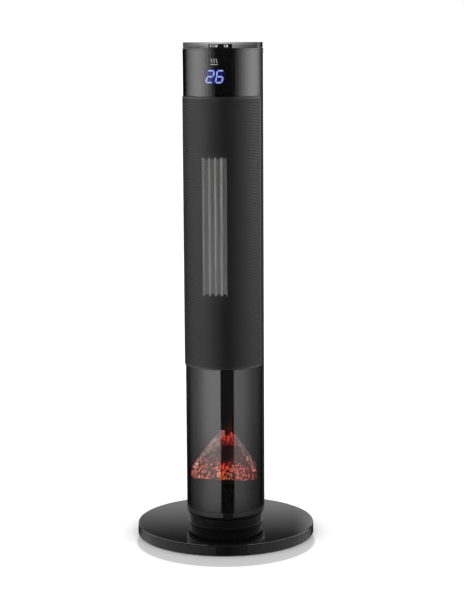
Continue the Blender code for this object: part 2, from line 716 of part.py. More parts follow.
def build_front_panels():
    """Smoked window, perforated grille sheet and glossy head panel."""
    outline = band(FRAME_OUTER + GAP, WINDOW_RADIUS, -PANEL_ANGLE, PANEL_ANGLE)
    plate("smoked_window", [outline], SHELL_LOW, WINDOW_HIGH, SMOKED, parent=TOWER)
    outline = band(FRAME_OUTER + GAP, TOWER_RADIUS, -PANEL_ANGLE, PANEL_ANGLE)
    plate("head_panel", [outline], HEAD_LOW, HEAD_HIGH, GLOSS_BLACK, parent=TOWER)

    outer = TOWER_RADIUS + GRILLE_PROUD
    inner = outer - GRILLE_THICKNESS
    hem = GRILLE_ANGLE - GRILLE_THICKNESS / TOWER_RADIUS
    outline = arc(outer, -GRILLE_ANGLE, GRILLE_ANGLE)
    outline += [plan(FRAME_OUTER + GAP, GRILLE_ANGLE), plan(FRAME_OUTER + GAP, hem)]
    outline += arc(inner, hem, -hem)
    outline += [plan(FRAME_OUTER + GAP, -hem), plan(FRAME_OUTER + GAP, -GRILLE_ANGLE)]
    plate("mesh_grille", [outline], GRILLE_LOW, GRILLE_HIGH, MESH_GREY, parent=TOWER)


def build_rear_housing():
    """The rear half shell with its air inlet, switch opening and cord hole."""
    start = SPLIT_ANGLE + PANEL_SIDE_GAP
    outline = band(HOUSING_INNER, TOWER_RADIUS, start, 2 * math.pi - start)
    housing = plate("rear_housing", [outline], SHELL_LOW, HEAD_HIGH, SATIN_BLACK, parent=TOWER)
    inlet_gap = INLET_ANGLE + GAP / TOWER_RADIUS
    opening = band(HOUSING_INNER / 2, TOWER_RADIUS * 1.3, math.pi - inlet_gap, math.pi + inlet_gap)
    half = INLET_HEIGHT / 2 + GAP
    cutter = extruded_mesh("inlet_opening", [opening], OUTLET_Z - half, OUTLET_Z + half)
    cut(housing, add_cutter("inlet_opening", cutter))
    switch_z = SHELL_LOW + ROCKER_LIFT
    size = (SWITCH_BODY[0] + 2 * GAP, WALL * 6, SWITCH_BODY[2] + 2 * GAP)
    cut(housing, add_cutter("switch_opening", box_mesh("switch_opening", size), (0, HOUSING_INNER, switch_z)))
    hole = rod_mesh("cord_hole", GLAND_RADIUS + GAP, WALL * 6, sides=32)
    turn = (math.pi / 2, 0, 0)
    cut(housing, add_cutter("cord_hole", hole, (0, HOUSING_INNER, SHELL_LOW + GLAND_LIFT), turn))


def build_inlet_grille():
    """The clip-in rear cover with tiers of upright slots, one slot in the middle of each facet."""
    outline = band(HOUSING_INNER, TOWER_RADIUS, math.pi - INLET_ANGLE, math.pi + INLET_ANGLE)
    low = OUTLET_Z - INLET_HEIGHT / 2
    grille = plate("inlet_grille", [outline], low, low + INLET_HEIGHT, SATIN_BLACK, parent=TOWER)
    pitch = (INLET_HEIGHT - SLOT_BAR) / SLOT_TIERS
    wedges = bmesh.new()
    for column in range(SLOT_COLUMNS):
        centre = math.pi + (column - (SLOT_COLUMNS - 1) / 2) * ARC_STEP + ARC_STEP / 2
        left, right = centre - SLOT_OPENING / 2, centre + SLOT_OPENING / 2
        wedge = band(HOUSING_INNER * 0.8, TOWER_RADIUS * 1.2, left, right)
        mesh = extruded_mesh("slot", [wedge], low + SLOT_BAR, low + pitch)
        wedges.from_mesh(mesh)
        bpy.data.meshes.remove(mesh)
    slots = bpy.data.meshes.new("inlet_slots")
    wedges.to_mesh(slots)
    wedges.free()
    cutter = add_cutter("inlet_slots", slots)
    repeat_up(cutter, SLOT_TIERS, pitch)
    cut(grille, cutter)


def build_cord_gland():
    """The rubber bush in the cord hole, turned about its own axis along Y."""
    outer = TOWER_RADIUS + GAP + GLAND_FLANGE_THICKNESS
    face = TOWER_RADIUS + GAP
    seat = HOUSING_INNER - GAP
    rear = seat - GLAND_FLANGE_THICKNESS
    profile = [
        (GLAND_FLANGE - GLAND_EDGE, outer),
        (GLAND_FLANGE, outer - GLAND_EDGE),
        (GLAND_FLANGE, face),
        (GLAND_RADIUS, face),
        (GLAND_RADIUS, rear),
        (GLAND_BORE, rear),
        (GLAND_BORE, outer),
    ]
    gland = turned("cord_gland", profile, RUBBER, steps=32, parent=TOWER)
    gland.location = (0, 0, SHELL_LOW + GLAND_LIFT)
    gland.rotation_euler = (-math.pi / 2, 0, 0)


def build_switch():
    """The main switch's fixed body and its rocker, which pivots about X."""
    switch_z = SHELL_LOW + ROCKER_LIFT
    face = TOWER_RADIUS + GAP
    depth = SWITCH_BODY[1]
    body = add("switch_body", span_mesh(
        "switch_body",
        (-SWITCH_BODY[0] / 2, face - depth, -SWITCH_BODY[2] / 2),
        (SWITCH_BODY[0] / 2, face + SWITCH_FLANGE[1] / 2, SWITCH_BODY[2] / 2),
    ), SATIN_BLACK, (0, 0, switch_z), TOWER)
    flange = span_mesh(
        "switch_flange",
        (-SWITCH_FLANGE[0] / 2, face, -SWITCH_FLANGE[2] / 2),
        (SWITCH_FLANGE[0] / 2, face + SWITCH_FLANGE[1], SWITCH_FLANGE[2] / 2),
    )
    fuse(body, add_cutter("switch_flange", flange, (0, 0, switch_z)))
    pocket = span_mesh(
        "switch_pocket",
        (-ROCKER_SIZE[0] / 2 - GAP, face - ROCKER_POCKET, -ROCKER_SIZE[1] / 2 - GAP),
        (ROCKER_SIZE[0] / 2 + GAP, face + WALL * 2, ROCKER_SIZE[1] / 2 + GAP),
    )
    cut(body, add_cutter("switch_pocket", pocket, (0, 0, switch_z)))

    half = ROCKER_SIZE[1] / 2 - GAP
    rise = half * math.tan(ROCKER_TILT)
    foot = half - ROCKER_EDGE
    outline = [
        (-half, rise + ROCKER_CROWN),
        (0.0, ROCKER_CROWN),
        (half, rise + ROCKER_CROWN),
        (foot, -ROCKER_EDGE),
        (ROCKER_KEEL_HALF, -ROCKER_KEEL),
        (-ROCKER_KEEL_HALF, -ROCKER_KEEL),
        (-foot, -ROCKER_EDGE),
    ]
    width = ROCKER_SIZE[0] / 2 - GAP
    mesh = extruded_mesh("rocker", [outline], -width, width)
    stand = Matrix(((0, 0, 1), (0, 1, 0), (-1, 0, 0))).to_4x4()
    tip = Matrix.Rotation(ROCKER_TILT, 4, "X")
    mesh.transform(tip @ stand)
    add("rocker", mesh, GLOSS_BLACK, (0, face - ROCKER_SINK, switch_z), TOWER)


def build_top():
    """The flat front deck, the raised rear cap and its metal riser."""
    plate("top_deck", [circle(TOWER_RADIUS, sides=72)], DECK_LOW, DECK_TOP, GLOSS_BLACK, parent=TOWER)
    cap_front = RISER_Y + BEZEL_THICKNESS + GAP
    cap = plate("top_cap", [segment(CAP_RADIUS, cap_front)], CAP_LOW, CAP_TOP, GLOSS_BLACK, parent=TOWER)
    inner = segment(CAP_RADIUS - WALL, cap_front + WALL)
    hollow = extruded_mesh("cap_hollow", [inner], CAP_LOW - WALL, CAP_TOP - WALL)
    cut(cap, add_cutter("cap_hollow", hollow))
    half = SLOT_WIDTH / 2
    slot = span_mesh(
        "key_slot",
        (-half, RISER_Y - WALL, DECK_TOP - WALL),
        (half, cap_front + WALL * 1.5, DECK_TOP + SLOT_HEIGHT + GAP),
    )
    slot_cutter = add_cutter("key_slot", slot)
    cut(cap, slot_cutter)
    ends = math.acos(-RISER_Y / CAP_RADIUS)
    back = math.acos(-(RISER_Y + BEZEL_THICKNESS) / CAP_RADIUS)
    outline = [plan(CAP_RADIUS, ends), plan(CAP_RADIUS, back), plan(CAP_RADIUS, -back), plan(CAP_RADIUS, -ends)]
    bezel = plate("key_bezel", [outline], CAP_LOW, CAP_TOP, BRUSHED_TRIM, parent=TOWER)
    cut(bezel, slot_cutter)


def build_keys():
    """The key guide in the riser's slot, its two keys, the receiver lens and the board behind."""
    guide_low = CAP_LOW
    guide_high = DECK_TOP + SLOT_HEIGHT
    guide_front = RISER_Y + GUIDE_SETBACK
    guide_rear = guide_front + GUIDE_DEPTH
    middle = (guide_low + guide_high) / 2
    half = SLOT_WIDTH / 2 - GAP
    guide = add("key_guide", span_mesh(
        "key_guide", (-half, guide_front, guide_low), (half, guide_rear, guide_high)
    ), SATIN_BLACK, parent=TOWER)
    for name, (centre, width) in (("power_key", POWER_KEY), ("mode_key", MODE_KEY), ("ir_lens", IR_LENS)):
        window = (width + 2 * KEY_PLAY, GUIDE_DEPTH * 3, KEY_HEIGHT + 2 * KEY_PLAY)
        opening = box_mesh(name + "_window", window)
        cutter = add_cutter(name + "_window", opening, (centre, guide_front, middle))
        cut(guide, cutter)
    for name, (centre, width) in (("power_key", POWER_KEY), ("mode_key", MODE_KEY)):
        front = RISER_Y + GAP
        back = guide_rear + GAP + KEY_FLANGE
        mesh = span_mesh(name, (-width / 2, 0.0, -KEY_HEIGHT / 2), (width / 2, back - front, KEY_HEIGHT / 2))
        key = add(name, mesh, SILVER, (centre, front, middle), TOWER)
        side = KEY_PLAY * 3
        flange = span_mesh(
            name + "_flange",
            (-width / 2 - side, back - front - KEY_FLANGE, -KEY_HEIGHT / 2 - KEY_PLAY * 2),
            (width / 2 + side, back - front, KEY_HEIGHT / 2 + KEY_PLAY * 2),
        )
        fuse(key, add_cutter(name + "_flange", flange, (centre, front, middle)))
    centre, width = IR_LENS
    lens_front = guide_front - GAP
    lens = span_mesh("ir_lens", (-width / 2, 0.0, -KEY_HEIGHT / 2), (width / 2, GUIDE_DEPTH, KEY_HEIGHT / 2))
    add("ir_lens", lens, SMOKED, (centre, lens_front, middle), TOWER)

    contact = guide_rear + GAP + KEY_FLANGE + KEY_TRAVEL + GAP
    board_front = contact + SWITCH_DEPTH
    board = add("key_board", span_mesh(
        "key_board", (-half, board_front, guide_low), (half, board_front + DUCT_WALL, guide_high)
    ), CIRCUIT_GREEN, parent=TOWER)
    for name, (centre, _) in (("power", POWER_KEY), ("mode", MODE_KEY)):
        size = (SWITCH_DEPTH * 1.2, SWITCH_DEPTH + GAP, SWITCH_DEPTH * 1.2)
        place = (centre, contact + (SWITCH_DEPTH + GAP) / 2, middle)
        fuse(board, add_cutter(f"{name}_tact_switch", box_mesh(f"{name}_tact_switch", size), place))


# ---------------------------------------------------------------- inside the tower
def round_plate(name, low, finish, holes=()):
    """A round plate across the inside of the front frame."""
    rings = [circle(PLATE_RADIUS)] + list(holes)
    return plate(name, rings, low, low + PLATE_THICKNESS, finish, parent=TOWER)


def log_axis(side):
    """Start point, direction and length of a log that leans on the heap's slope."""
    heap_radius = PLATE_RADIUS - WALL
    top, toe = LOG_TOP_REACH, heap_radius - LOG_TOE
    touch = (top + toe) / 2
    slope = 2 * (HEAP_HEIGHT - HEAP_RIM) * touch / heap_radius ** 2
    lean = math.atan(slope)
    height = TRAY_TOP + GAP + HEAP_RIM + (HEAP_HEIGHT - HEAP_RIM) * (1 - (touch / heap_radius) ** 2)
    lift = LOG_RADIUS + GAP
    radius = touch + lift * math.sin(lean)
    x, y = plan(radius, side * LOG_ANGLE)
    length = (toe - top) / math.cos(lean)
    return (x, y, height + lift * math.cos(lean)), lean, length


def build_flame_chamber():
    """Ember deck, heap, logs, screen, light strip, flame rotor and its motor, and the lid."""
    screen_rear = SCREEN_Y + SCREEN_THICKNESS
    rotor_y = screen_rear + ROTOR_PLAY + ROTOR_RADIUS
    rotor_z = TRAY_TOP + ROTOR_PLAY + ROTOR_RADIUS
    reach = half_chord(PLATE_RADIUS - GAP, rotor_y + ROTOR_MOTOR_SIZE / 2)
    deck = round_plate("ember_deck", TRAY_LOW, SATIN_BLACK)
    lug = span_mesh(
        "rotor_lug",
        (-reach, rotor_y - ROTOR_RADIUS / 2, TRAY_TOP - PLATE_THICKNESS / 2),
        (-reach + LUG_THICKNESS, rotor_y + ROTOR_RADIUS / 2, rotor_z + ROTOR_RADIUS / 2),
    )
    fuse(deck, add_cutter("rotor_lug", lug))
    bore = rod_mesh("lug_bore", ROTOR_SHAFT + RUNNING_PLAY, LUG_THICKNESS * 3)
    along_x = (0, math.pi / 2, 0)
    cut(deck, add_cutter("lug_bore", bore, (-reach, rotor_y, rotor_z), along_x))

    heap_radius = PLATE_RADIUS - WALL
    base = TRAY_TOP + GAP
    rise = HEAP_HEIGHT - HEAP_RIM
    slope = [
        (heap_radius * t / 8, base + HEAP_RIM + rise * (1 - (t / 8) ** 2)) for t in range(9)
    ]
    heap = open_turned("ember_bed", slope + [(heap_radius, base), (0.0, base)], EMBER, steps=36, parent=TOWER)
    front = span_mesh("heap_front", (-1, -1, 0), (1, SCREEN_Y - GAP, 1))
    keep(heap, add_cutter("heap_front", front))
    for name, side in (("log_left", -1), ("log_right", 1)):
        place, lean, length = log_axis(side)
        log = add(name, rod_mesh(name, LOG_RADIUS, length, sides=12), BARK, place, TOWER)
        swing = Matrix.Rotation(side * LOG_ANGLE, 4, "Z")
        tilt = Matrix.Rotation(-(math.pi / 2 - lean), 4, "X")
        log.rotation_euler = (swing @ tilt).to_euler()

    width = half_chord(PLATE_RADIUS - GAP, screen_rear)
    low, high = (-width, SCREEN_Y, TRAY_TOP + GAP), (width, screen_rear, LID_LOW - GAP)
    screen = span_mesh("flame_screen", low, high)
    add("flame_screen", screen, DIFFUSER, parent=TOWER)
    rotor_low = -reach + LUG_THICKNESS + SWING_PLAY
    motor_low = reach - ROTOR_MOTOR_LENGTH
    board_half = min(LED_BOARD[0] / 2, motor_low - ROTOR_PLAY)
    size = (2 * board_half, LED_BOARD[1], LED_BOARD[2])
    strip = box_mesh("led_strip", size)
    add("led_strip", strip, CIRCUIT_GREEN, (0, rotor_y, TRAY_TOP + GAP + size[2] / 2), TOWER)
    rotor_high = motor_low - SWING_PLAY
    centre = (rotor_low + rotor_high) / 2
    star = []
    for i in range(ROTOR_BLADES):
        angle = 2 * math.pi * i / ROTOR_BLADES
        half = math.pi / ROTOR_BLADES
        star += [plan(ROTOR_RADIUS, angle - ROTOR_TIP), plan(ROTOR_RADIUS, angle + ROTOR_TIP)]
        star.append(plan(ROTOR_ROOT, angle + half))
    mesh = extruded_mesh("flame_rotor", [star], rotor_low - centre, rotor_high - centre)
    rotor = add("flame_rotor", mesh, ALUMINIUM, (centre, rotor_y, rotor_z), TOWER)
    rotor.rotation_euler = along_x
    spindle_low, spindle_high = -reach + GAP, motor_low - GAP
    spindle = rod_mesh("rotor_spindle", ROTOR_SHAFT, spindle_high - spindle_low, sides=16)
    place = ((spindle_low + spindle_high) / 2, rotor_y, rotor_z)
    fuse(rotor, add_cutter("rotor_spindle", spindle, place, along_x))
    half = ROTOR_MOTOR_SIZE / 2
    motor = span_mesh(
        "rotor_motor",
        (motor_low, rotor_y - half, TRAY_TOP + GAP),
        (reach, rotor_y + half, TRAY_TOP + GAP + ROTOR_MOTOR_SIZE),
    )
    round_edges(add("rotor_motor", motor, BARE_STEEL, parent=TOWER), 0.0010, segments=1)
    round_plate("chamber_lid", LID_LOW, SATIN_BLACK)


def build_duct():
    """End plates, scroll wall, tongue, fan motor and top bearing around the cross-flow wheel."""
    low_plate = OUTLET_LOW - PLATE_THICKNESS - GAP
    hub = SHAFT_RADIUS + SWING_PLAY
    round_plate("duct_bottom_plate", low_plate, SATIN_BLACK, [circle(hub, FAN_CENTRE, 24)])
    round_plate("duct_top_plate", OUTLET_HIGH + GAP, SATIN_BLACK, [circle(hub, FAN_CENTRE, 24)])
    x, y = FAN_CENTRE
    near = FAN_RADIUS + FAN_PLAY
    left_side = OUTLET_X - PTC_WIDTH / 2 + DUCT_WALL
    start = (left_side, PTC_BACK + GAP + DUCT_WALL / 2)
    spread = x - left_side
    sweep = []
    for i in range(SCROLL_STEPS + 1):
        share = i / SCROLL_STEPS
        angle = -math.pi / 2 - share * SCROLL_SWEEP
        radius = max(near, spread) + (near - max(near, spread)) * share + DUCT_WALL / 2
        px, py = plan(radius, angle)
        sweep.append((x + px, y + py))
    wall = strip_outline([start] + sweep, DUCT_WALL)
    plate("duct_scroll", [wall], OUTLET_LOW, OUTLET_HIGH, SATIN_BLACK, parent=TOWER)
    right_side = OUTLET_X + PTC_WIDTH / 2 - DUCT_WALL
    lip = plan(near + DUCT_WALL, TONGUE_ANGLE)
    tip = plan(near + DUCT_WALL, TONGUE_ANGLE + TONGUE_SWEEP)
    start = (right_side, PTC_BACK + GAP + DUCT_WALL / 2)
    bend = [start, (x + lip[0], y + lip[1]), (x + tip[0], y + tip[1])]
    plate("duct_tongue", [strip_outline(bend, DUCT_WALL)], OUTLET_LOW, OUTLET_HIGH, SATIN_BLACK, parent=TOWER)

    motor = rod_mesh("fan_motor", FAN_MOTOR_RADIUS, FAN_MOTOR_HEIGHT, sides=32)
    body = add("fan_motor", motor, BARE_STEEL, (x, y, low_plate - GAP - FAN_MOTOR_HEIGHT / 2), TOWER)
    round_edges(body, 0.0020, segments=1)
    bearing_low = OUTLET_HIGH + GAP + PLATE_THICKNESS + GAP
    rings = [circle(BEARING_RADIUS, sides=32), circle(SHAFT_RADIUS + RUNNING_PLAY, sides=24)]
    bearing_high = bearing_low + BEARING_HEIGHT
    plate("fan_bearing", rings, bearing_low, bearing_high, RUBBER, parent=TOWER, location=(x, y, 0))


def build_fan_wheel():
    """The cross-flow wheel: three discs, a ring of curved blades and a shaft end at each side."""
    low = OUTLET_LOW + FAN_PLAY
    high = OUTLET_HIGH - FAN_PLAY
    middle = (low + high) / 2
    disc = extruded_mesh("fan_wheel", [circle(FAN_RADIUS, sides=48)], low - middle, low - middle + FAN_DISC)
    wheel = add("fan_wheel", disc, SATIN_BLACK, (*FAN_CENTRE, middle), TOWER)
    top = high - middle
    upper = extruded_mesh("upper_disc", [circle(FAN_RADIUS, sides=48)], top - FAN_DISC, top)
    ring = [circle(FAN_RADIUS, sides=48), circle(FAN_RADIUS - BLADE_LENGTH - BLADE_INSET, sides=32)]
    centre_ring = extruded_mesh("centre_ring", ring, -FAN_DISC / 2, FAN_DISC / 2)
    joined = bmesh.new()
    for i in range(BLADE_COUNT):
        angle = 2 * math.pi * i / BLADE_COUNT
        points = []
        for share in (0.0, 0.5, 1.0):
            radius = FAN_RADIUS - BLADE_INSET - (BLADE_LENGTH - BLADE_INSET) * share
            lead = BLADE_LEAD * (1 - share) ** 2
            points.append(plan(radius, angle + lead))
        outline = strip_outline(points, BLADE_THICKNESS)
        blade = extruded_mesh("blade", [outline], low - middle + FAN_DISC / 2, high - middle - FAN_DISC / 2)
        joined.from_mesh(blade)
        bpy.data.meshes.remove(blade)
    blades = bpy.data.meshes.new("blades")
    joined.to_mesh(blades)
    joined.free()
    place = (*FAN_CENTRE, middle)
    fuse(wheel, add_cutter("upper_disc", upper, place))
    fuse(wheel, add_cutter("centre_ring", centre_ring, place))
    fuse(wheel, add_cutter("blades", blades, place))
    lower_end = OUTLET_LOW - PLATE_THICKNESS - GAP
    upper_end = OUTLET_HIGH + PLATE_THICKNESS + BEARING_HEIGHT
    for name, inside, outside in (("lower_shaft", low, lower_end), ("upper_shaft", high, upper_end)):
        overlap = FAN_DISC / 2 if outside < inside else -FAN_DISC / 2
        length = abs(inside + overlap - outside)
        mesh = rod_mesh(name, SHAFT_RADIUS, length)
        fuse(wheel, add_cutter(name, mesh, (*FAN_CENTRE, (inside + overlap + outside) / 2)))


def build_heater():
    """The heatproof holder, the bonded core of bars and fins, and the thermal cut-out."""
    half = PTC_WIDTH / 2
    middle_y = (PTC_FRONT + PTC_BACK) / 2
    frame = add("ptc_frame", box_mesh(
        "ptc_frame", (PTC_WIDTH, CORE_DEPTH, OUTLET_HEIGHT)
    ), HEATPROOF, (OUTLET_X, middle_y, OUTLET_Z), TOWER)
    window = box_mesh("core_window", (CORE_WIDTH + 2 * GAP, CORE_DEPTH * 2, CORE_HEIGHT + 2 * GAP))
    cut(frame, add_cutter("core_window", window, (OUTLET_X, middle_y, OUTLET_Z)))

    fin_height = CORE_HEIGHT - 2 * BAR_OVERHANG
    inner_width = CORE_WIDTH - 2 * FIN_SETBACK
    core = add("ptc_core", box_mesh(
        "ptc_core", (inner_width, BAR_DEPTH - 2 * FIN_SETBACK, fin_height)
    ), ALUMINIUM, (OUTLET_X, middle_y, OUTLET_Z), TOWER)
    for i in range(BAR_COUNT):
        x = OUTLET_X + (i - (BAR_COUNT - 1) / 2) * BAR_PITCH
        bar = box_mesh(f"ptc_bar_{i}", (BAR_THICKNESS, BAR_DEPTH, CORE_HEIGHT))
        fuse(core, add_cutter(f"ptc_bar_{i}", bar, (x, middle_y, OUTLET_Z)))

    disc = rod_mesh("thermal_cutout", CUTOUT_RADIUS, CUTOUT_DEPTH)
    rail = (OUTLET_HEIGHT - CORE_HEIGHT) / 4
    place = (OUTLET_X + half / 2, PTC_BACK + GAP + CUTOUT_DEPTH / 2, OUTLET_HIGH - rail - CUTOUT_RADIUS / 2)
    switch = add("thermal_cutout", disc, BARE_STEEL, place, TOWER)
    switch.rotation_euler = (math.pi / 2, 0, 0)
    round_edges(switch, 0.0008, segments=1)


def build_head():
    """Head plate, display and its board, control board and heater relay."""
    round_plate("head_plate", HEAD_PLATE_LOW, SATIN_BLACK)
    foot = HEAD_PLATE_TOP + GAP
    depth = DISPLAY_SIZE[1]
    display = add("led_display", box_mesh("led_display", DISPLAY_SIZE), DISPLAY_GLASS, parent=TOWER)
    display.location = (0, DISPLAY_FRONT + depth / 2, DISPLAY_Z)
    thick, height = DISPLAY_BOARD[1:]
    place = (0, DISPLAY_FRONT + depth + GAP + thick / 2, foot + height / 2)
    add("display_board", box_mesh("display_board", DISPLAY_BOARD), CIRCUIT_GREEN, place, TOWER)
    thick, height = CONTROL_BOARD[1:]
    place = (0, CONTROL_BOARD_Y + thick / 2, foot + height / 2)
    add("control_board", box_mesh("control_board", CONTROL_BOARD), CIRCUIT_GREEN, place, TOWER)
    depth, height = RELAY_SIZE[1:]
    place = (-CONTROL_BOARD[0] / 4, CONTROL_BOARD_Y - GAP - depth / 2, foot + height)
    relay = add("heater_relay", box_mesh("heater_relay", RELAY_SIZE), RELAY_BLUE, place, TOWER)
    round_edges(relay, 0.0006, segments=1)


def build_tilt_switch():
    """The tip-over switch on the tower floor."""
    width, depth, height = TILT_SWITCH
    place = (-SWING_MOTOR_RADIUS - width / 2, -depth / 2, FLOOR_TOP + GAP + height / 2)
    switch = add("tilt_switch", box_mesh("tilt_switch", TILT_SWITCH), SATIN_BLACK, place, TOWER)
    round_edges(switch, 0.0008, segments=1)


def smooth_all():
    """Shade the round work smooth and keep corners sharp."""
    for piece in PARTS.objects:
        if piece.type == "MESH":
            piece.data.shade_smooth()
            piece.data.set_sharp_from_angle(angle=math.radians(30))


clear_scene()
PARTS = new_collection("tower_heater")
CUTTERS = new_collection("cutters")
TOWER = bpy.data.objects.new("tower_axis", None)
PARTS.objects.link(TOWER)

build_base()
build_neck()
build_swing_drive()
build_ring()
build_front_frame()
build_front_panels()
build_rear_housing()
build_inlet_grille()
build_cord_gland()
build_switch()
build_top()
build_keys()
build_flame_chamber()
build_duct()
build_fan_wheel()
build_heater()
build_head()
build_tilt_switch()
smooth_all()
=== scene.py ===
"""Looks of a tower room heater: smoked flame window, perforated grille, glossy head, push keys and round base.

Every length is in metres. Plan angles run from the front towards +X, so a point at radius r and angle a
stands at (r sin a, -r cos a).
"""

import logging
import math
from dataclasses import dataclass
from enum import Enum
from typing import Any, Callable, Dict, List, Optional, Sequence, Tuple, Union

import bmesh
import bpy
import numpy as np
from mathutils import Matrix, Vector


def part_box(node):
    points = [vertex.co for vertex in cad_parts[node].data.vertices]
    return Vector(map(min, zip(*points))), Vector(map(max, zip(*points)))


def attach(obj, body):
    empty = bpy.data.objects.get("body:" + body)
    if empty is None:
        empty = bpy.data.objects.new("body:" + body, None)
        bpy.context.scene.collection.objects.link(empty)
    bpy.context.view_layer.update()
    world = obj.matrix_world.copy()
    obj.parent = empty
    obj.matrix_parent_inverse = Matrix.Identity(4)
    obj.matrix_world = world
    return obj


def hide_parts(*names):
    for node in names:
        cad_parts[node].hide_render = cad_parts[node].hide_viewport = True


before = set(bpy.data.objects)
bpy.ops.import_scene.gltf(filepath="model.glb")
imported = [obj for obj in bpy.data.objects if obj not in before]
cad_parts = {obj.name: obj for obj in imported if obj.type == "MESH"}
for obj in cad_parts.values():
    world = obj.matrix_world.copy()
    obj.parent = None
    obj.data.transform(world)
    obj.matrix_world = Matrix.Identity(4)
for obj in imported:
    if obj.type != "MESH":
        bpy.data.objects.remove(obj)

LOG = logging.getLogger("tower_heater")
WELD = 1e-6  # points of a piece that lie closer than this are one
ROW_RISE = math.sqrt(3) / 2  # height of a row of staggered holes, in pitches
GOLDEN_ANGLE = 2.39996  # radians
TUBE_LEVEL = (0.13, 0.31, 0.94)  # a direction that no tube runs along
Colour = Tuple[float, float, float]
Span = Tuple[float, float, float]
Pieces = List[bpy.types.Object]
Value = Union["Socket", float]


# ---------------------------------------------------------------- shader writing
def grey(level: float, blue: float = 0.0) -> Colour:
    """A neutral colour, with a little more blue if asked."""
    return (level, level, level + blue)


def arithmetic(operation: str, turned: bool = False) -> Callable[["Socket", Value], "Socket"]:
    """An operator that adds a Math node, with its two values turned round where it is a reflected form."""

    def operator(left: "Socket", right: Value) -> "Socket":
        """Apply the operation to the two values."""
        return left.recipe.maths(operation, *((right, left) if turned else (left, right)))

    return operator


class Socket:
    """One output of a shader node, with Python's arithmetic written on it."""

    __add__, __radd__ = arithmetic("ADD"), arithmetic("ADD", True)
    __sub__, __rsub__ = arithmetic("SUBTRACT"), arithmetic("SUBTRACT", True)
    __mul__, __rmul__ = arithmetic("MULTIPLY"), arithmetic("MULTIPLY", True)
    __truediv__, __rtruediv__ = arithmetic("DIVIDE"), arithmetic("DIVIDE", True)
    __pow__, __rpow__ = arithmetic("POWER"), arithmetic("POWER", True)
    over, under = arithmetic("MAXIMUM"), arithmetic("MINIMUM")

    def __init__(self, recipe: "Recipe", source: bpy.types.NodeSocket) -> None:
        """Keep the recipe that owns the node and the node's output."""
        self.recipe = recipe
        self.source = source

    def __abs__(self) -> "Socket":
        """The value without its sign."""
        return self.recipe.maths("ABSOLUTE", self)

    def between(self, low: float, on: float, off: float, high: float) -> "Socket":
        """A soft gate: 0 at low, 1 from on to off and 0 again at high."""
        return self.ramp(low, on) * self.ramp(high, off)

    def ramp(self, low: float, high: float) -> "Socket":
        """A smooth step that is 0 at low and 1 at high."""
        return self.recipe.node(
            "ShaderNodeMapRange",
            {"interpolation_type": "SMOOTHSTEP"},
            {"Value": self, "From Min": low, "From Max": high},
        )


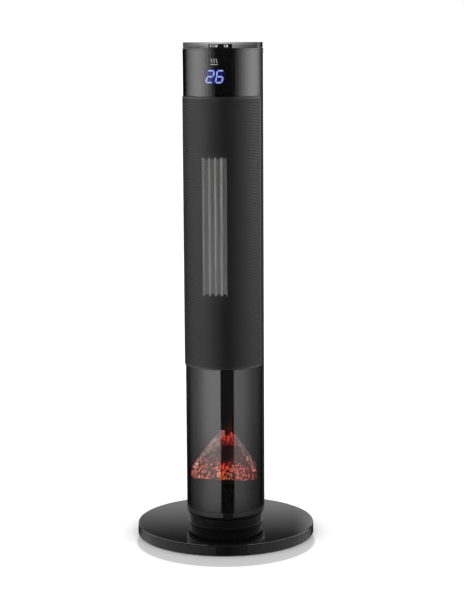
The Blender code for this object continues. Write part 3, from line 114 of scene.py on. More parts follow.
class Recipe:
    """One material or world, and the short calls that add nodes to it."""

    def __init__(self, owner: Union[bpy.types.Material, bpy.types.World]) -> None:
        """Empty the owner's node tree and keep it."""
        owner.use_nodes = True
        self.owner = owner
        self.tree = owner.node_tree
        self.tree.nodes.clear()
        self._place: Optional[Socket] = None

    def node(
        self,
        kind: str,
        settings: Optional[Dict[str, Any]] = None,
        inputs: Optional[Dict[Union[str, int], Any]] = None,
        output: Union[str, int] = 0,
    ) -> Socket:
        """Add one node.

        Args:
            kind: the node's type name.
            settings: the node's own settings, set first; "stops" fills a colour ramp.
            inputs: what each socket takes, by name or number: a Socket or a plain value.
            output: the output that is handed back.

        Returns:
            The chosen output.
        """
        made = self.tree.nodes.new(kind)
        for key, value in (settings or {}).items():
            if key == "stops":
                self._fill(made.color_ramp, value)
            else:
                setattr(made, key, value)
        for key, value in (inputs or {}).items():
            if isinstance(value, Socket):
                self.tree.links.new(value.source, made.inputs[key])
            else:
                made.inputs[key].default_value = value
        return Socket(self, made.outputs[output])

    @staticmethod
    def _fill(ramp: bpy.types.ColorRamp, stops: Sequence[Tuple[float, Colour]]) -> None:
        """Set a colour ramp's stops."""
        while len(ramp.elements) < len(stops):
            ramp.elements.new(1.0)
        for element, (place, colour) in zip(ramp.elements, stops):
            element.position = place
            element.color = (*colour, 1.0)

    def maths(self, operation: str, *values: Value) -> Socket:
        """Add a Math node with that operation on the values."""
        return self.node("ShaderNodeMath", {"operation": operation}, dict(enumerate(values)))

    def place(self) -> Socket:
        """The point on the surface in the object's own coordinates."""
        if self._place is None:
            self._place = self.node("ShaderNodeTexCoord", output="Object")
        return self._place

    def along(self, vector: Optional[Socket] = None) -> Tuple[Socket, Socket, Socket]:
        """The x, y and z of a vector, the surface point if none is given."""
        parts = self.node("ShaderNodeSeparateXYZ", inputs={0: vector or self.place()})
        outputs = parts.source.node.outputs
        return Socket(self, outputs[0]), Socket(self, outputs[1]), Socket(self, outputs[2])

    def stretch(self, x: float, y: float, z: float) -> Socket:
        """The surface point with each axis scaled."""
        return self.node("ShaderNodeVectorMath", {"operation": "MULTIPLY"}, {0: self.place(), 1: (x, y, z)})

    def add_scaled(self, base: Socket, more: Socket, share: float) -> Socket:
        """A vector or colour plus a share of another."""
        return self.node("ShaderNodeVectorMath", {"operation": "MULTIPLY_ADD"}, {0: more, 1: (share,) * 3, 2: base})

    def noise(self, scale: float, detail: float = 3.0, rough: float = 0.5, at: Optional[Socket] = None) -> Socket:
        """Fractal noise between 0 and 1, at so many cells to the metre."""
        inputs = {"Vector": at or self.place(), "Scale": scale, "Detail": detail, "Roughness": rough}
        return self.node("ShaderNodeTexNoise", inputs=inputs)

    def cells(self, scale: float, feature: str = "F1", at: Optional[Socket] = None) -> Socket:
        """Distance in a cell pattern, at so many cells to the metre."""
        inputs = {"Vector": at or self.place(), "Scale": scale}
        return self.node("ShaderNodeTexVoronoi", {"feature": feature}, inputs)

    def blend(self, share: Value, first: Any, second: Any) -> Socket:
        """Mix two colours: the first at share 0, the second at share 1."""
        first = first if isinstance(first, Socket) else (*first, 1.0)
        second = second if isinstance(second, Socket) else (*second, 1.0)
        return self.node("ShaderNodeMix", {"data_type": "RGBA"}, {0: share, 6: first, 7: second}, 2)

    def tint(self, value: Socket, stops: Sequence[Tuple[float, Colour]]) -> Socket:
        """Turn a value into a colour through a ramp."""
        return self.node("ShaderNodeValToRGB", {"stops": stops}, {0: value})

    def relief(self, height: Socket, depth: float, strength: float = 1.0) -> Socket:
        """A bumped normal from a height between 0 and 1 that stands for that depth."""
        return self.node("ShaderNodeBump", inputs={"Height": height, "Distance": depth, "Strength": strength})

    def surface(self, **inputs: Any) -> Socket:
        """A Principled shader; underscores in a name stand for spaces."""
        named: Dict[Union[str, int], Any] = {}
        for key, value in inputs.items():
            name = key.replace("_", " ")
            colour = isinstance(value, tuple) and len(value) == 3
            named[name] = (*value, 1.0) if colour else value
        return self.node("ShaderNodeBsdfPrincipled", inputs=named)

    def close(self, shader: Socket) -> Any:
        """Lead the shader to the output and hand back the owner."""
        world = isinstance(self.owner, bpy.types.World)
        made = self.tree.nodes.new("ShaderNodeOutputWorld" if world else "ShaderNodeOutputMaterial")
        self.tree.links.new(shader.source, made.inputs["Surface"])
        return self.owner


@dataclass(frozen=True)
class Finish:
    """A named finish. Each kind says what the sockets of its surface shader take."""

    name: str

    def inputs(self, r: Recipe) -> Dict[str, Any]:
        """Add the finish's nodes to a recipe and hand back what each socket takes."""
        raise NotImplementedError

    def material(self) -> bpy.types.Material:
        """Make the material."""
        r = Recipe(bpy.data.materials.new(self.name))
        return r.close(r.surface(**self.inputs(r)))


# ---------------------------------------------------------------- finishes
@dataclass(frozen=True)
class Moulding(Finish):
    """Moulded plastic: a body colour with slow drift, a fine grain and faint handling marks."""

    colour: Colour
    roughness: float
    grain: float = 2600.0
    grain_depth: float = 0.000006
    drift: float = 0.12
    coat: float = 0.0
    smear: float = 0.05
    alpha: float = 1.0
    ior: float = 1.5

    def inputs(self, r: Recipe) -> Dict[str, Any]:
        """Work out the finish."""
        slow = r.noise(22.0, 2.0)
        dust = r.noise(900.0, 2.0, 0.7).ramp(0.62, 0.8)
        pale = tuple(c * (1 + self.drift) + 0.004 for c in self.colour)
        deep = tuple(c * (1 - self.drift) for c in self.colour)
        colour = r.blend(dust * 0.25, r.blend(slow, deep, pale), tuple(c + 0.02 for c in pale))
        marks = r.noise(60.0, 4.0, 0.6).ramp(0.45, 0.75)
        rough = self.roughness + marks * self.smear + dust * 0.03
        fine = r.relief(r.noise(self.grain, 2.0), self.grain_depth, 0.6)
        return dict(
            Base_Color=colour, Roughness=rough, Normal=fine, IOR=self.ior,
            Coat_Weight=self.coat, Coat_Roughness=0.03, Alpha=self.alpha,
        )


@dataclass(frozen=True)
class Metalwork(Finish):
    """Bare or painted metal with a brushed grain along one axis."""

    colour: Colour
    roughness: float
    brush: Colour = (400.0, 400.0, 4000.0)
    brush_depth: float = 0.000008
    metallic: float = 1.0
    stain: float = 0.15

    def inputs(self, r: Recipe) -> Dict[str, Any]:
        """Work out the finish."""
        lines = r.noise(1.0, 3.0, 0.6, r.stretch(*self.brush))
        cloud = r.noise(45.0, 3.0)
        dark = tuple(c * (1 - self.stain) for c in self.colour)
        colour = r.blend(cloud * 0.6 + lines * 0.4, dark, self.colour)
        return dict(
            Base_Color=colour, Metallic=self.metallic,
            Roughness=self.roughness + (lines - 0.5) * 0.16 + cloud * 0.06,
            Normal=r.relief(lines, self.brush_depth),
        )


@dataclass(frozen=True)
class PaintedHighlightTrim(Finish):
    """Brushed trim with a painted highlight: its colour goes from bright in the middle to dark painted shade at the two
    ends.
    """

    reach: float = 0.060

    def inputs(self, r: Recipe) -> Dict[str, Any]:
        """Work out the finish."""
        x, y, z = r.along()
        lines = r.noise(1.0, 3.0, 0.6, r.stretch(60.0, 4000.0, 4000.0))
        # painted highlight: the colour is brightest in the middle and darkens to painted shade at the two ends
        share = (abs(x) / self.reach).under(1.0)
        colour = r.tint(share, [
            (0.0, grey(0.85, 0.01)), (0.33, grey(0.62, 0.01)), (0.6, grey(0.30, 0.01)), (1.0, grey(0.08, 0.005)),
        ])
        return dict(
            Base_Color=r.blend(lines * 0.3, colour, grey(0.10)), Metallic=1.0,
            Roughness=0.30 + (lines - 0.5) * 0.14, Normal=r.relief(lines, 0.000008),
        )


@dataclass(frozen=True)
class BaseLacquer(Finish):
    """Lacquered black top over a satin black side: the radius tells the one from the other."""

    rim: float = 0.1493

    def inputs(self, r: Recipe) -> Dict[str, Any]:
        """Work out the finish."""
        x, y, z = r.along()
        radius = (x * x + y * y) ** 0.5
        side = radius.ramp(self.rim, self.rim + 0.0005)
        marks = r.noise(34.0, 4.0, 0.6).ramp(0.45, 0.8)
        dust = r.noise(1100.0, 2.0, 0.7).ramp(0.64, 0.8)
        fine = r.noise(1400.0, 2.0)
        colour = r.blend(dust * 0.2, grey(0.0015, 0.0002), grey(0.012))
        return dict(
            Base_Color=colour, Roughness=0.025 + marks * 0.015 + side * 0.06,
            Normal=r.relief(fine, 0.000001, 0.3), IOR=1.45,
        )


@dataclass(frozen=True)
class MarkedRocker(Finish):
    """Glossy black rocker with a moulded-in white bar above its middle and a white ring below."""

    middle: float
    reach: float

    def inputs(self, r: Recipe) -> Dict[str, Any]:
        """Work out the finish: the bar and the ring are bands of distance in X and Z."""
        x, y, z = r.along()
        up = z - (self.middle + self.reach * 0.5)
        bar = abs(x).ramp(0.00055, 0.00045) * abs(up).ramp(0.0018, 0.0017)
        down = z - (self.middle - self.reach * 0.5)
        ring = abs((x * x + down * down) ** 0.5 - 0.0016).ramp(0.0004, 0.0003)
        ink = bar.over(ring)
        grain = r.noise(1500.0, 2.0)
        wear = r.noise(120.0, 3.0).ramp(0.45, 0.7)
        return dict(
            Base_Color=r.blend(ink, grey(0.004, 0.0005), (0.62, 0.62, 0.60)),
            Roughness=0.16 + wear * 0.10 + ink * 0.2, Normal=r.relief(grain, 0.000003),
        )


@dataclass(frozen=True)
class CircuitBoard(Finish):
    """Solder mask over copper tracks."""

    def inputs(self, r: Recipe) -> Dict[str, Any]:
        """Work out the finish."""
        x, y, z = r.along()
        tracks = r.cells(420.0, "DISTANCE_TO_EDGE", r.stretch(1.0, 0.2, 0.45)).ramp(0.03, 0.06)
        pads = r.cells(240.0).ramp(0.22, 0.16)
        green = r.blend(tracks, (0.02, 0.11, 0.045), (0.008, 0.055, 0.022))
        colour = r.blend(pads, green, (0.45, 0.42, 0.36))
        return dict(
            Base_Color=colour, Roughness=0.35 + pads * 0.1, Normal=r.relief(tracks, 0.00003), Coat_Weight=0.3
        )


class Slot(Enum):
    """The record's material slots."""

    GLOSS_BLACK = "gloss_black"
    SATIN_GREY = "satin_grey"
    SATIN_BLACK = "satin_black"
    SMOKED_GLASS = "smoked_glass"
    GRILLE_GREY = "grille_grey"
    BRUSHED_TRIM = "brushed_trim"
    SILVER_KEY = "silver_key"
    RUBBER = "rubber"
    STEEL = "steel"
    ALUMINIUM = "aluminium_core"
    CREAM = "heatproof_cream"
    ACETAL = "white_acetal"
    CIRCUIT = "circuit_green"
    DISPLAY = "display_dark"
    RELAY = "relay_blue"
    DIFFUSER = "diffuser"
    EMBER = "ember_resin"
    LOGWOOD = "log_resin"


FINISHES: Dict[Slot, Finish] = {
    Slot.GLOSS_BLACK: Moulding("gloss black plastic", grey(0.0015, 0.0003), 0.06, 900.0, 0.000003, smear=0.03),
    Slot.SATIN_GREY: Moulding("semi-gloss black plastic", grey(0.0030, 0.0004), 0.22, 1600.0, 0.000004, ior=1.42),
    Slot.SATIN_BLACK: Moulding("satin black plastic", grey(0.0080, 0.0004), 0.46, ior=1.18),
    Slot.SMOKED_GLASS: Moulding(
        "smoked acrylic", grey(0.003), 0.02, 500.0, 0.000001, smear=0.01, alpha=0.62, ior=1.64
    ),
    Slot.GRILLE_GREY: Metalwork("grey painted steel sheet", grey(0.05, 0.002), 0.38, metallic=0.5),
    Slot.BRUSHED_TRIM: PaintedHighlightTrim("brushed trim with painted highlight"),
    Slot.SILVER_KEY: Metalwork("polished silver keys", grey(0.72, 0.01), 0.16, (100.0, 3000.0, 3000.0)),
    Slot.RUBBER: Moulding("black rubber", grey(0.012), 0.7, grain_depth=0.00002),
    Slot.STEEL: Metalwork("plated steel", grey(0.42, 0.01), 0.32),
    Slot.ALUMINIUM: Metalwork("bright aluminium", grey(0.78, 0.01), 0.24, (3000.0, 3000.0, 120.0)),
    Slot.CREAM: Moulding("heatproof cream plastic", (0.42, 0.38, 0.30), 0.55),
    Slot.ACETAL: Moulding("white acetal", (0.72, 0.71, 0.68), 0.36),
    Slot.CIRCUIT: CircuitBoard("green circuit board"),
    Slot.DISPLAY: Moulding("dark display face", grey(0.004, 0.002), 0.2),
    Slot.RELAY: Moulding("blue relay case", (0.02, 0.09, 0.34), 0.32),
    Slot.DIFFUSER: Moulding("milky diffuser", (0.5, 0.45, 0.4), 0.6),
    Slot.EMBER: Moulding("ember resin", (0.05, 0.03, 0.025), 0.6),
    Slot.LOGWOOD: Moulding("log resin", (0.09, 0.07, 0.06), 0.8),
}


class Shop:
    """Every finish's material, made once."""

    def __init__(self) -> None:
        """Start with nothing made."""
        self.made: Dict[str, bpy.types.Material] = {}

    def get(self, finish: Finish) -> bpy.types.Material:
        """The material of a finish, made on first use."""
        if finish.name not in self.made:
            self.made[finish.name] = finish.material()
        return self.made[finish.name]


# ---------------------------------------------------------------- studio
@dataclass
class Studio:
    """Camera, pale floor, white backdrop and two tall soft boxes, left and right of the camera.

    The boxes are given twice, as surfaces see them level and from low down: near end, middle and far end of
    each in degrees from the camera, and the light of the left and the right one.
    """

    turn: float = math.radians(11.5)
    distance: float = 2.861
    eye: float = 0.850
    pitch: float = math.radians(8.91)
    yaw: float = math.radians(0.255)
    roll: float = math.radians(-0.334)
    lens: float = 103.4
    floor_reach: float = 60.0
    # painted shade on the floor: how far its disc is shifted towards the camera, and the base radius it follows
    painted_shade_reach: float = 0.055
    painted_shade_radius: float = 0.150
    level_left: Span = (-18.0, -72.0, -140.0)
    level_right: Span = (26.0, 88.0, 148.0)
    low_left: Span = (-11.0, -40.0, -100.0)
    low_right: Span = (24.0, 36.0, 100.0)
    level_light: Tuple[float, float] = (4.5, 4.35)
    low_light: Tuple[float, float] = (3.3, 2.1)
    wall_top: Tuple[float, float] = (0.34, 0.42)
    flag_side: Tuple[float, float, float, float] = (-0.068, -0.058, 0.038, 0.056)
    wall_light: float = 1.0
    roof_light: float = 2.0

    def camera(self) -> bpy.types.Object:
        """Place the camera: turned round the tower, then pitched down, yawed and rolled."""
        data = bpy.data.cameras.new("camera")
        data.lens = self.lens
        data.sensor_width = 36.0
        data.sensor_fit = "AUTO"
        camera = bpy.data.objects.new("camera", data)
        bpy.context.scene.collection.objects.link(camera)
        c, s = math.cos(self.yaw), math.sin(self.yaw)
        cp, sp = math.cos(self.pitch), math.sin(self.pitch)
        ahead = np.array([s * cp, c * cp, -sp])
        right = np.array([c, -s, 0.0])
        up = np.cross(right, ahead)
        cr, sr = math.cos(self.roll), math.sin(self.roll)
        side, rise = cr * right + sr * up, -sr * right + cr * up
        view = Matrix((side, rise, -ahead)).transposed().to_4x4()
        view.translation = (0.0, -self.distance, self.eye)
        camera.matrix_world = Matrix.Rotation(self.turn, 4, "Z") @ view
        bpy.context.scene.camera = camera
        return camera

    def floor(self) -> bpy.types.Object:
        """A wide round pale floor at height 0, with painted shade in its colour: a darker disc shifted from under the
        base towards the camera, standing in for the base's dark reflection, and a painted grey halo beside the base.
        """
        solid = Solid()
        angle = np.linspace(0, 2 * math.pi, 97)[:-1]
        radius = np.array([0.0001, 0.3, 1.0, 8.0, self.floor_reach])[:, None]
        points = np.stack([radius * np.sin(angle), -radius * np.cos(angle), np.zeros((5, 96))], axis=-1)
        solid.grid(points, wrap_columns=True)
        r = Recipe(bpy.data.materials.new("pale floor"))
        cloud = r.noise(0.8, 2.0)
        x, y, z = r.along()
        # painted shade: a disc under the base, shifted towards the camera, darkens the floor colour in place of the
        # base's reflection
        across = x - self.painted_shade_reach * math.sin(self.turn)
        ahead = y + self.painted_shade_reach * math.cos(self.turn)
        away = (across * across + ahead * ahead) ** 0.5
        shade = away.ramp(self.painted_shade_radius + 0.004, self.painted_shade_radius - 0.003)
        reach = (x * x + y * y) ** 0.5
        flank = (abs(x * math.cos(self.turn) + y * math.sin(self.turn)) / reach.over(0.01)).ramp(0.80, 0.97)
        # painted shade: a soft grey halo beside the base, left and right as seen from the camera
        halo = reach.ramp(self.painted_shade_radius + 0.070, self.painted_shade_radius) * flank * 0.42
        plain = r.blend(cloud, grey(0.875), grey(0.885))
        colour = r.blend(shade.over(halo), plain, grey(0.455))
        shader = r.surface(Base_Color=colour, Roughness=0.45 + cloud * 0.05, IOR=1.3)
        floor = solid.make("floor", r.close(shader))
        floor.visible_glossy = False
        return floor

    def world(self) -> None:
        """White to the eye; to the surfaces a room with a white back wall and ceiling and two soft boxes.

        Each box is a span of plan angle from the camera with soft upper and lower ends. The back wall
        brightens behind the tower, from just over the horizon up, and a small black flag hangs before it.
        Limits on z are heights of a direction, the sine of its angle over the horizon, and limits on the
        bearing are degrees from the camera, to the right if positive.
        """
        r = Recipe(bpy.data.worlds.new("studio"))
        bpy.context.scene.world = r.owner
        x, y, z = r.along(r.node("ShaderNodeTexCoord", output="Generated"))
        c, s = math.cos(self.turn), math.sin(self.turn)
        bearing = r.maths("ARCTAN2", x * c + y * s, x * s - y * c) * (180 / math.pi)
        left, right = self.level_light
        level = self.hump(bearing, self.level_left, left) + self.hump(bearing, self.level_right, right)
        left, right = self.low_light
        low = self.sheet(bearing, self.low_left, left) + self.sheet(bearing, self.low_right, right)
        low = low * (0.02 + 0.53 * z.ramp(-0.286, -0.264) + 0.45 * z.ramp(-0.262, -0.215))
        share = z.ramp(-0.15, -0.06)
        sides = (0.09 + abs(bearing) * 0.0095).under(0.9) * abs(bearing).ramp(165.0, 120.0)
        under = (1.0 - z.ramp(-0.292, -0.272)) * sides + 0.09 * z.between(-0.262, -0.17, -0.13, -0.09)
        boxes = (low * (1.0 - share) + level * share + under) * z.between(-0.8, -0.3, 0.04, 0.24)
        behind = 0.35 + 0.65 * abs(bearing).ramp(60.0, 120.0)
        aside = x * c + y * s
        flag = z.between(0.260, 0.291, *self.wall_top) * aside.between(*self.flag_side)
        wall = z.between(-0.004, 0.012, *self.wall_top) * (1.0 - 0.96 * flag) * behind
        light = boxes + wall * self.wall_light + z.ramp(0.40, 0.70) * self.roof_light + 0.004
        seen = r.node("ShaderNodeLightPath", output="Is Camera Ray")
        strength = seen + (1.0 - seen) * light
        r.close(r.node("ShaderNodeBackground", inputs={"Color": (1, 1, 1, 1), "Strength": strength}))

    @staticmethod
    def hump(bearing: Socket, span: Span, peak: float) -> Socket:
        """A soft box that swells from the span's near end to its middle and fades to its far end."""
        near, middle, far = span
        return bearing.between(near, middle, middle, far) * peak

    @staticmethod
    def sheet(bearing: Socket, span: Span, peak: float) -> Socket:
        """A soft box with a crisp near edge that dims evenly to its far end."""
        near, middle, far = span
        crisp = math.copysign(1.3, far - near)
        dim = bearing.ramp(far, middle) * 0.72 + 0.28
        end = bearing.ramp(far + crisp * 30, far - crisp * 10)
        return bearing.ramp(near - crisp, near + crisp) * dim * end * peak

    def build(self) -> None:
        """Set the whole stage."""
        self.camera()
        self.floor()
        self.world()
        bpy.context.scene.view_settings.view_transform = "Standard"


# ---------------------------------------------------------------- mesh writing
class Solid:
    """A mesh put together from grids of points and flat caps."""

    def __init__(self) -> None:
        """Start empty."""
        self.points: List[np.ndarray] = []
        self.faces: List[np.ndarray] = []
        self.count = 0

    def mesh(self, points: np.ndarray, faces: np.ndarray) -> "Solid":
        """Add points and faces that all have the same number of corners."""
        self.points.append(np.asarray(points, float))
        self.faces.append(np.asarray(faces) + self.count)
        self.count += len(points)
        return self

    def grid(self, points: np.ndarray, wrap_rows: bool = False, wrap_columns: bool = False) -> "Solid":
        """Add a grid of points as quads: corner (i, j) joins (i+1, j), (i+1, j+1) and (i, j+1).

        Args:
            points: rows x columns x 3.
            wrap_rows: join the last row to the first.
            wrap_columns: join the last column to the first.

        Returns:
            The solid itself.
        """
        index = np.arange(points.shape[0] * points.shape[1]).reshape(points.shape[:2])
        if wrap_rows:
            index = np.vstack([index, index[:1]])
        if wrap_columns:
            index = np.hstack([index, index[:, :1]])
        quads = np.stack([index[:-1, :-1], index[1:, :-1], index[1:, 1:], index[:-1, 1:]], axis=-1)
        return self.mesh(points.reshape(-1, 3), quads.reshape(-1, 4))

    def cap(self, ring: np.ndarray) -> "Solid":
        """Close a flat ring of points with one face."""
        return self.mesh(ring, np.arange(len(ring))[None, :])

    def drum(self, rows: np.ndarray) -> "Solid":
        """Add rows of closed rings, with a cap on the first and on the last."""
        return self.grid(rows, wrap_columns=True).cap(rows[0]).cap(rows[-1])

    def bands(self, pairs: np.ndarray) -> "Solid":
        """Add a band between the two rings of each pair: pairs x 2 x points x 3, the first point repeated last."""
        index = np.arange(pairs[..., 0].size).reshape(pairs.shape[:3])
        quads = np.stack([index[:, 0, :-1], index[:, 0, 1:], index[:, 1, 1:], index[:, 1, :-1]], -1)
        return self.mesh(pairs.reshape(-1, 3), quads.reshape(-1, 4))

    def strip(
        self, line: np.ndarray, half: float, near: float, far: float, place: Callable[[np.ndarray, float], np.ndarray]
    ) -> "Solid":
        """Add a closed strip along a flat line, with a rectangle for its section.

        Args:
            line: the middle of the strip, points x 2.
            half: half its width, across the line.
            near: depth of its one face.
            far: depth of its other face.
            place: turns flat points and a depth into points in space.

        Returns:
            The solid itself.
        """
        way = unit(np.gradient(line, axis=0))
        across = np.stack([-way[:, 1], way[:, 0]], -1) * half
        corners = ((1, near), (1, far), (-1, far), (-1, near))
        ring = np.stack([place(line + side * across, depth) for side, depth in corners])
        return self.grid(ring, wrap_rows=True).cap(ring[:, 0]).cap(ring[:, -1])

    def make(self, name: str, material: bpy.types.Material, sharp: float = 35.0) -> bpy.types.Object:
        """Write the mesh, join its seams, face it outwards and shade it smooth up to an angle.

        Args:
            name: the piece's name.
            material: its material.
            sharp: edges over this angle, in degrees, stay crisp.

        Returns:
            The new object, at the origin.
        """
        mesh = bpy.data.meshes.new(name)
        points = np.concatenate(self.points)
        corners = np.concatenate([f.reshape(-1) for f in self.faces])
        sizes = np.concatenate([np.full(len(f), f.shape[1]) for f in self.faces])
        starts = np.concatenate([[0], np.cumsum(sizes)[:-1]])
        mesh.vertices.add(len(points))
        mesh.vertices.foreach_set("co", points.astype(np.float32).ravel())
        mesh.loops.add(len(corners))
        mesh.loops.foreach_set("vertex_index", corners.astype(np.int32))
        mesh.polygons.add(len(sizes))
        mesh.polygons.foreach_set("loop_start", starts.astype(np.int32))
        mesh.update(calc_edges=True)
        work = bmesh.new()
        work.from_mesh(mesh)
        bmesh.ops.remove_doubles(work, verts=work.verts, dist=WELD)
        bmesh.ops.recalc_face_normals(work, faces=work.faces)
        work.to_mesh(mesh)
        work.free()
        mesh.polygons.foreach_set("use_smooth", np.ones(len(mesh.polygons), bool))
        mesh.set_sharp_from_angle(angle=math.radians(sharp))
        mesh.materials.append(material)
        piece = bpy.data.objects.new(name, mesh)
        bpy.context.scene.collection.objects.link(piece)
        return piece


# ---------------------------------------------------------------- shapes
def unit(vectors: np.ndarray) -> np.ndarray:
    """Vectors brought to a length of 1 along their last axis."""
    return vectors / np.linalg.norm(vectors, axis=-1, keepdims=True)


def upright(flat: np.ndarray, depth: float) -> np.ndarray:
    """Flat (x, z) points stood up at one depth y."""
    return np.insert(flat, 1, depth, axis=-1)


def rounded(corners: Sequence[Tuple[float, float]], radius: float, steps: int) -> np.ndarray:
    """Round the corners of a closed outline.

    At each corner, with unit vectors u and v to its two neighbours and half the angle between them h,
    the arc's centre lies radius / sin h along u + v, and its points swing evenly from the one tangent
    point to the other.

    Args:
        corners: the outline's corners in order.
        radius: the radius of every corner.
        steps: segments to a corner.

    Returns:
        The rounded outline, points x 2.
    """
    here = np.asarray(corners, float)
    u = unit(np.roll(here, 1, 0) - here)
    v = unit(np.roll(here, -1, 0) - here)
    half = np.arccos(np.clip((u * v).sum(1), -1, 1)) / 2
    centre = here + unit(u + v) * (radius / np.sin(half))[:, None]
    start = here + u * (radius / np.tan(half))[:, None] - centre
    end = here + v * (radius / np.tan(half))[:, None] - centre
    swing = (math.pi - 2 * half)[:, None, None]
    share = np.linspace(0, 1, steps + 1)[None, :, None]
    arc = np.sin((1 - share) * swing) * start[:, None] + np.sin(share * swing) * end[:, None]
    return (centre[:, None] + arc / np.sin(swing)).reshape(-1, 2)


def around(radius: Any, angle: Any, height: Any) -> np.ndarray:
    """Points at radius and plan angle: (r sin a, -r cos a, z)."""
    radius, angle, height = np.broadcast_arrays(radius, angle, height)
    return np.stack([radius * np.sin(angle), -radius * np.cos(angle), height], axis=-1)


def ripple(*axes: np.ndarray, seed: int = 1, octaves: int = 4, pitch: float = 1.0) -> np.ndarray:
    """Smooth fixed noise near -1 to 1: in each octave three sine waves in seeded directions are multiplied
    in pairs, and every octave has twice the frequency and a bit over half the height of the last."""
    dice = np.random.default_rng(seed)
    total = np.zeros(np.broadcast_shapes(*(np.shape(a) for a in axes)))
    height = 1.0
    for octave in range(octaves):
        waves = []
        for _ in range(3):
            way = dice.normal(size=len(axes))
            way *= 2 * math.pi * pitch * 2 ** octave / np.linalg.norm(way)
            waves.append(np.sin(sum(w * a for w, a in zip(way, axes)) + dice.uniform(0, 6.3)))
        total = total + height * (waves[0] * waves[1] + waves[1] * waves[2])
        height *= 0.55
    return total / 2.2


def slab(x0: float, y0: float, x1: float, y1: float, radius: float, steps: int) -> np.ndarray:
    """A rectangle's outline between two corners, rounded."""
    return rounded([(x0, y0), (x1, y0), (x1, y1), (x0, y1)], radius, steps)


def rolled(outline: np.ndarray, low: float, high: float, edge: float, steps: int = 3) -> np.ndarray:
    """A plate's side with rolled edges, as rows of the outline.

    Going up, each row is the outline moved in along its own normals by edge (1 - cos t) while the height
    goes edge (1 - sin t) from the face, with t from 0 to a right angle.

    Args:
        outline: closed outline, points x 2, anticlockwise.
        low: bottom height.
        high: top height.
        edge: radius of the rolled edges.
        steps: segments to an edge.

    Returns:
        Rows x points x 3.
    """
    tangent = unit(np.roll(outline, -1, 0) - np.roll(outline, 1, 0))
    inward = np.stack([-tangent[:, 1], tangent[:, 0]], axis=1)
    t = np.linspace(0, math.pi / 2, steps + 1)
    move = np.concatenate([edge * (1 - np.sin(t)), edge * (1 - np.sin(t[::-1]))])
    level = np.concatenate([low + edge * (1 - np.cos(t)), high - edge * (1 - np.cos(t[::-1]))])
    flat = outline[None] + inward[None] * move[:, None, None]
    return np.dstack([flat, np.broadcast_to(level[:, None], flat.shape[:2])])


def tube(path: np.ndarray, radius: np.ndarray, lumps: np.ndarray) -> np.ndarray:
    """A round skin along a path: at each point a circle across the path's direction.

    Args:
        path: points x 3.
        radius: the radius at each point.
        lumps: share added to the radius, points x sides.

    Returns:
        Points x sides x 3.
    """
    ahead = unit(np.gradient(path, axis=0))
    side = unit(np.cross(ahead, TUBE_LEVEL))
    rise = np.cross(side, ahead)
    turn = np.arange(lumps.shape[1]) * 2 * math.pi / lumps.shape[1]
    reach = radius[:, None] * (1 + lumps)
    across, up = (reach * np.cos(turn))[..., None], (reach * np.sin(turn))[..., None]
    return path[:, None] + across * side[:, None] + up * rise[:, None]


@dataclass
class Assembly:
    """A group of pieces that are made together."""

    shop: Shop

    def build(self) -> Pieces:
        """Make the pieces and hand them back."""
        raise NotImplementedError

    def piece(
        self, solid: Solid, name: str, finish: Finish, slot: Slot, *nodes: str, body: str = "tower", sharp: float = 35.0
    ) -> bpy.types.Object:
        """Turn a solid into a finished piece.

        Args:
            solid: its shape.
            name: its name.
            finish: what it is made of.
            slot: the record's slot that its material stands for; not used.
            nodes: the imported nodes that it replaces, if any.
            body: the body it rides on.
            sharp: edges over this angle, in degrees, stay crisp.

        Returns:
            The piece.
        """
        made = solid.make(name, self.shop.get(finish), sharp)
        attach(made, body)
        if nodes:
            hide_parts(*nodes)
        return made


# ---------------------------------------------------------------- perforated grille
@dataclass(frozen=True)
class GrillePaint(Finish):
    """Dark powder coat on the perforated sheet: a fine orange peel and worn rims."""

    def inputs(self, r: Recipe) -> Dict[str, Any]:
        """Dark powder coat on the perforated sheet with a fine orange peel."""
        peel = r.noise(2400.0, 2.0)
        cloud = r.noise(18.0, 3.0)
        colour = r.blend(cloud, grey(0.006, 0.0005), grey(0.009, 0.0005))
        return dict(
            Base_Color=colour, Roughness=0.36 + peel * 0.10, Metallic=0.05,
            Normal=r.relief(peel, 0.00002, 0.5), IOR=1.46,
        )


GRILLE_PAINT = GrillePaint("grey powder coat")


